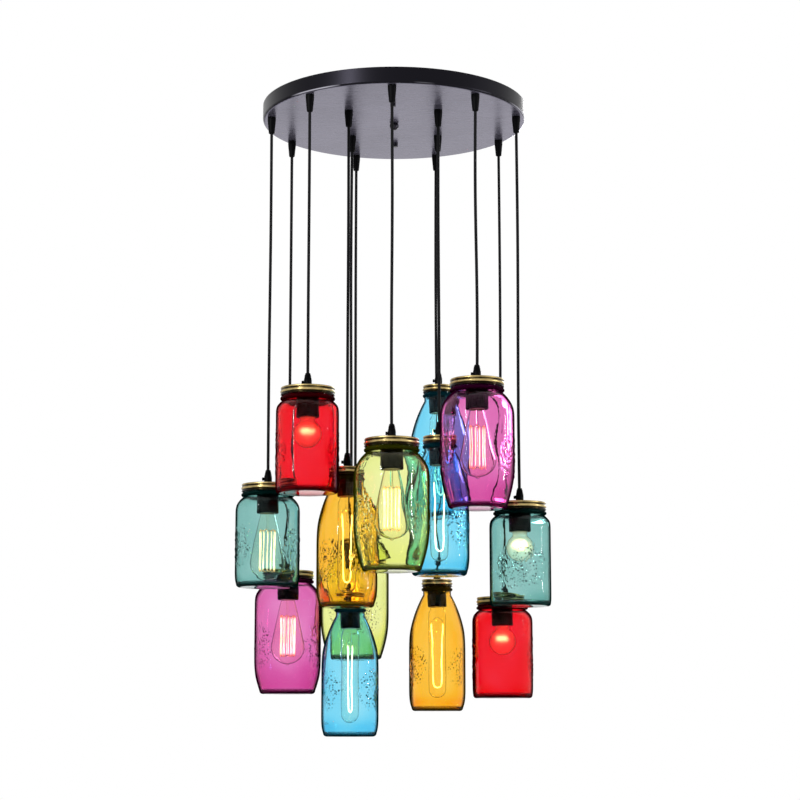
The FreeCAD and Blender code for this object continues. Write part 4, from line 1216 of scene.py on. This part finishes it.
CANOPY_FINISHES = {
    "canopy_pan": "canopy",
    "ball_nut": "dark_metal",
    "thumb_nuts": "dark_metal",
    "mounting_crossbar": "zinc",
    "hanger_studs": "zinc",
    "canopy_cord_grips": "black",
    "terminal_strips": "terminal",
    "cord_tails": "cord",
}
for node, finish in CANOPY_FINISHES.items():
    solid = frame["nodes"][node]
    for slot in solid.material_slots:
        slot.material = FINISHES[finish]


# Stage, light and camera

def build_floor():
    mesh = bpy.data.meshes.new("floor")
    reach, level, count = 3.0, -1.42, 96
    mesh.from_pydata(ring_points(reach, level, count), [], [list(range(count))])
    material, tree = new_finish("floor")
    shader = tree.make("BsdfDiffuse", Color=rgb(0.86, 0.86, 0.86))
    surface(tree, shader.outputs["BSDF"])
    mesh.materials.append(material)
    floor = bpy.data.objects.new("floor", mesh)
    bpy.context.scene.collection.objects.link(floor)


def build_world():
    """White surround for what is seen, mirrored or seen through glass, softer as light."""
    world = bpy.data.worlds.new("studio")
    bpy.context.scene.world = world
    tree = Tree(world)
    path = tree.make("LightPath")
    seen = tree.out(path, "Is Camera Ray").most(tree.out(path, "Is Glossy Ray"))
    seen = seen.most(tree.out(path, "Is Transmission Ray"))
    ambient = 0.55
    strength = ambient + (1 - ambient) * seen
    background = tree.make("Background", Color=rgb(1.0, 1.0, 1.0), Strength=strength)
    tree.make("OutputWorld", Surface=background.outputs["Background"])


def add_lamp(name, place, aim, size, power):
    """A soft rectangular studio lamp."""
    light = bpy.data.lights.new(name, "AREA")
    light.shape = "RECTANGLE"
    light.size, light.size_y = size
    light.energy = power
    lamp = bpy.data.objects.new(name, light)
    bpy.context.scene.collection.objects.link(lamp)
    lamp.location = place
    lamp.rotation_euler = (Vector(aim) - Vector(place)).to_track_quat("-Z", "Y").to_euler()


def build_camera():
    data = bpy.data.cameras.new("photo_camera")
    data.sensor_width = 36.0
    data.lens = 91.03
    camera = bpy.data.objects.new("photo_camera", data)
    bpy.context.scene.collection.objects.link(camera)
    azimuth = math.radians(0.8)
    tilt = math.radians(99.08)
    aside, distance, level = 0.01, 3.359, -1.045
    around = Matrix.Rotation(azimuth, 4, "Z")
    camera.location = around @ Vector((aside, -distance, level))
    camera.rotation_euler = (tilt, 0.0, azimuth)
    bpy.context.scene.camera = camera


build_floor()
build_world()
CLUSTER = (0.0, 0.0, -0.7)
add_lamp("key", (-1.6, -2.2, 0.3), CLUSTER, size=(0.14, 1.3), power=60.0)
add_lamp("fill", (2.55, -0.5, -0.3), CLUSTER, size=(0.12, 1.0), power=30.0)
add_lamp("rear", (0.8, 2.4, 0.3), CLUSTER, size=(0.8, 1.2), power=25.0)
build_camera()

scene = bpy.context.scene
scene.view_settings.view_transform = "Standard"
scene.cycles.max_bounces = 32
scene.cycles.transmission_bounces = 32
scene.cycles.glossy_bounces = 6
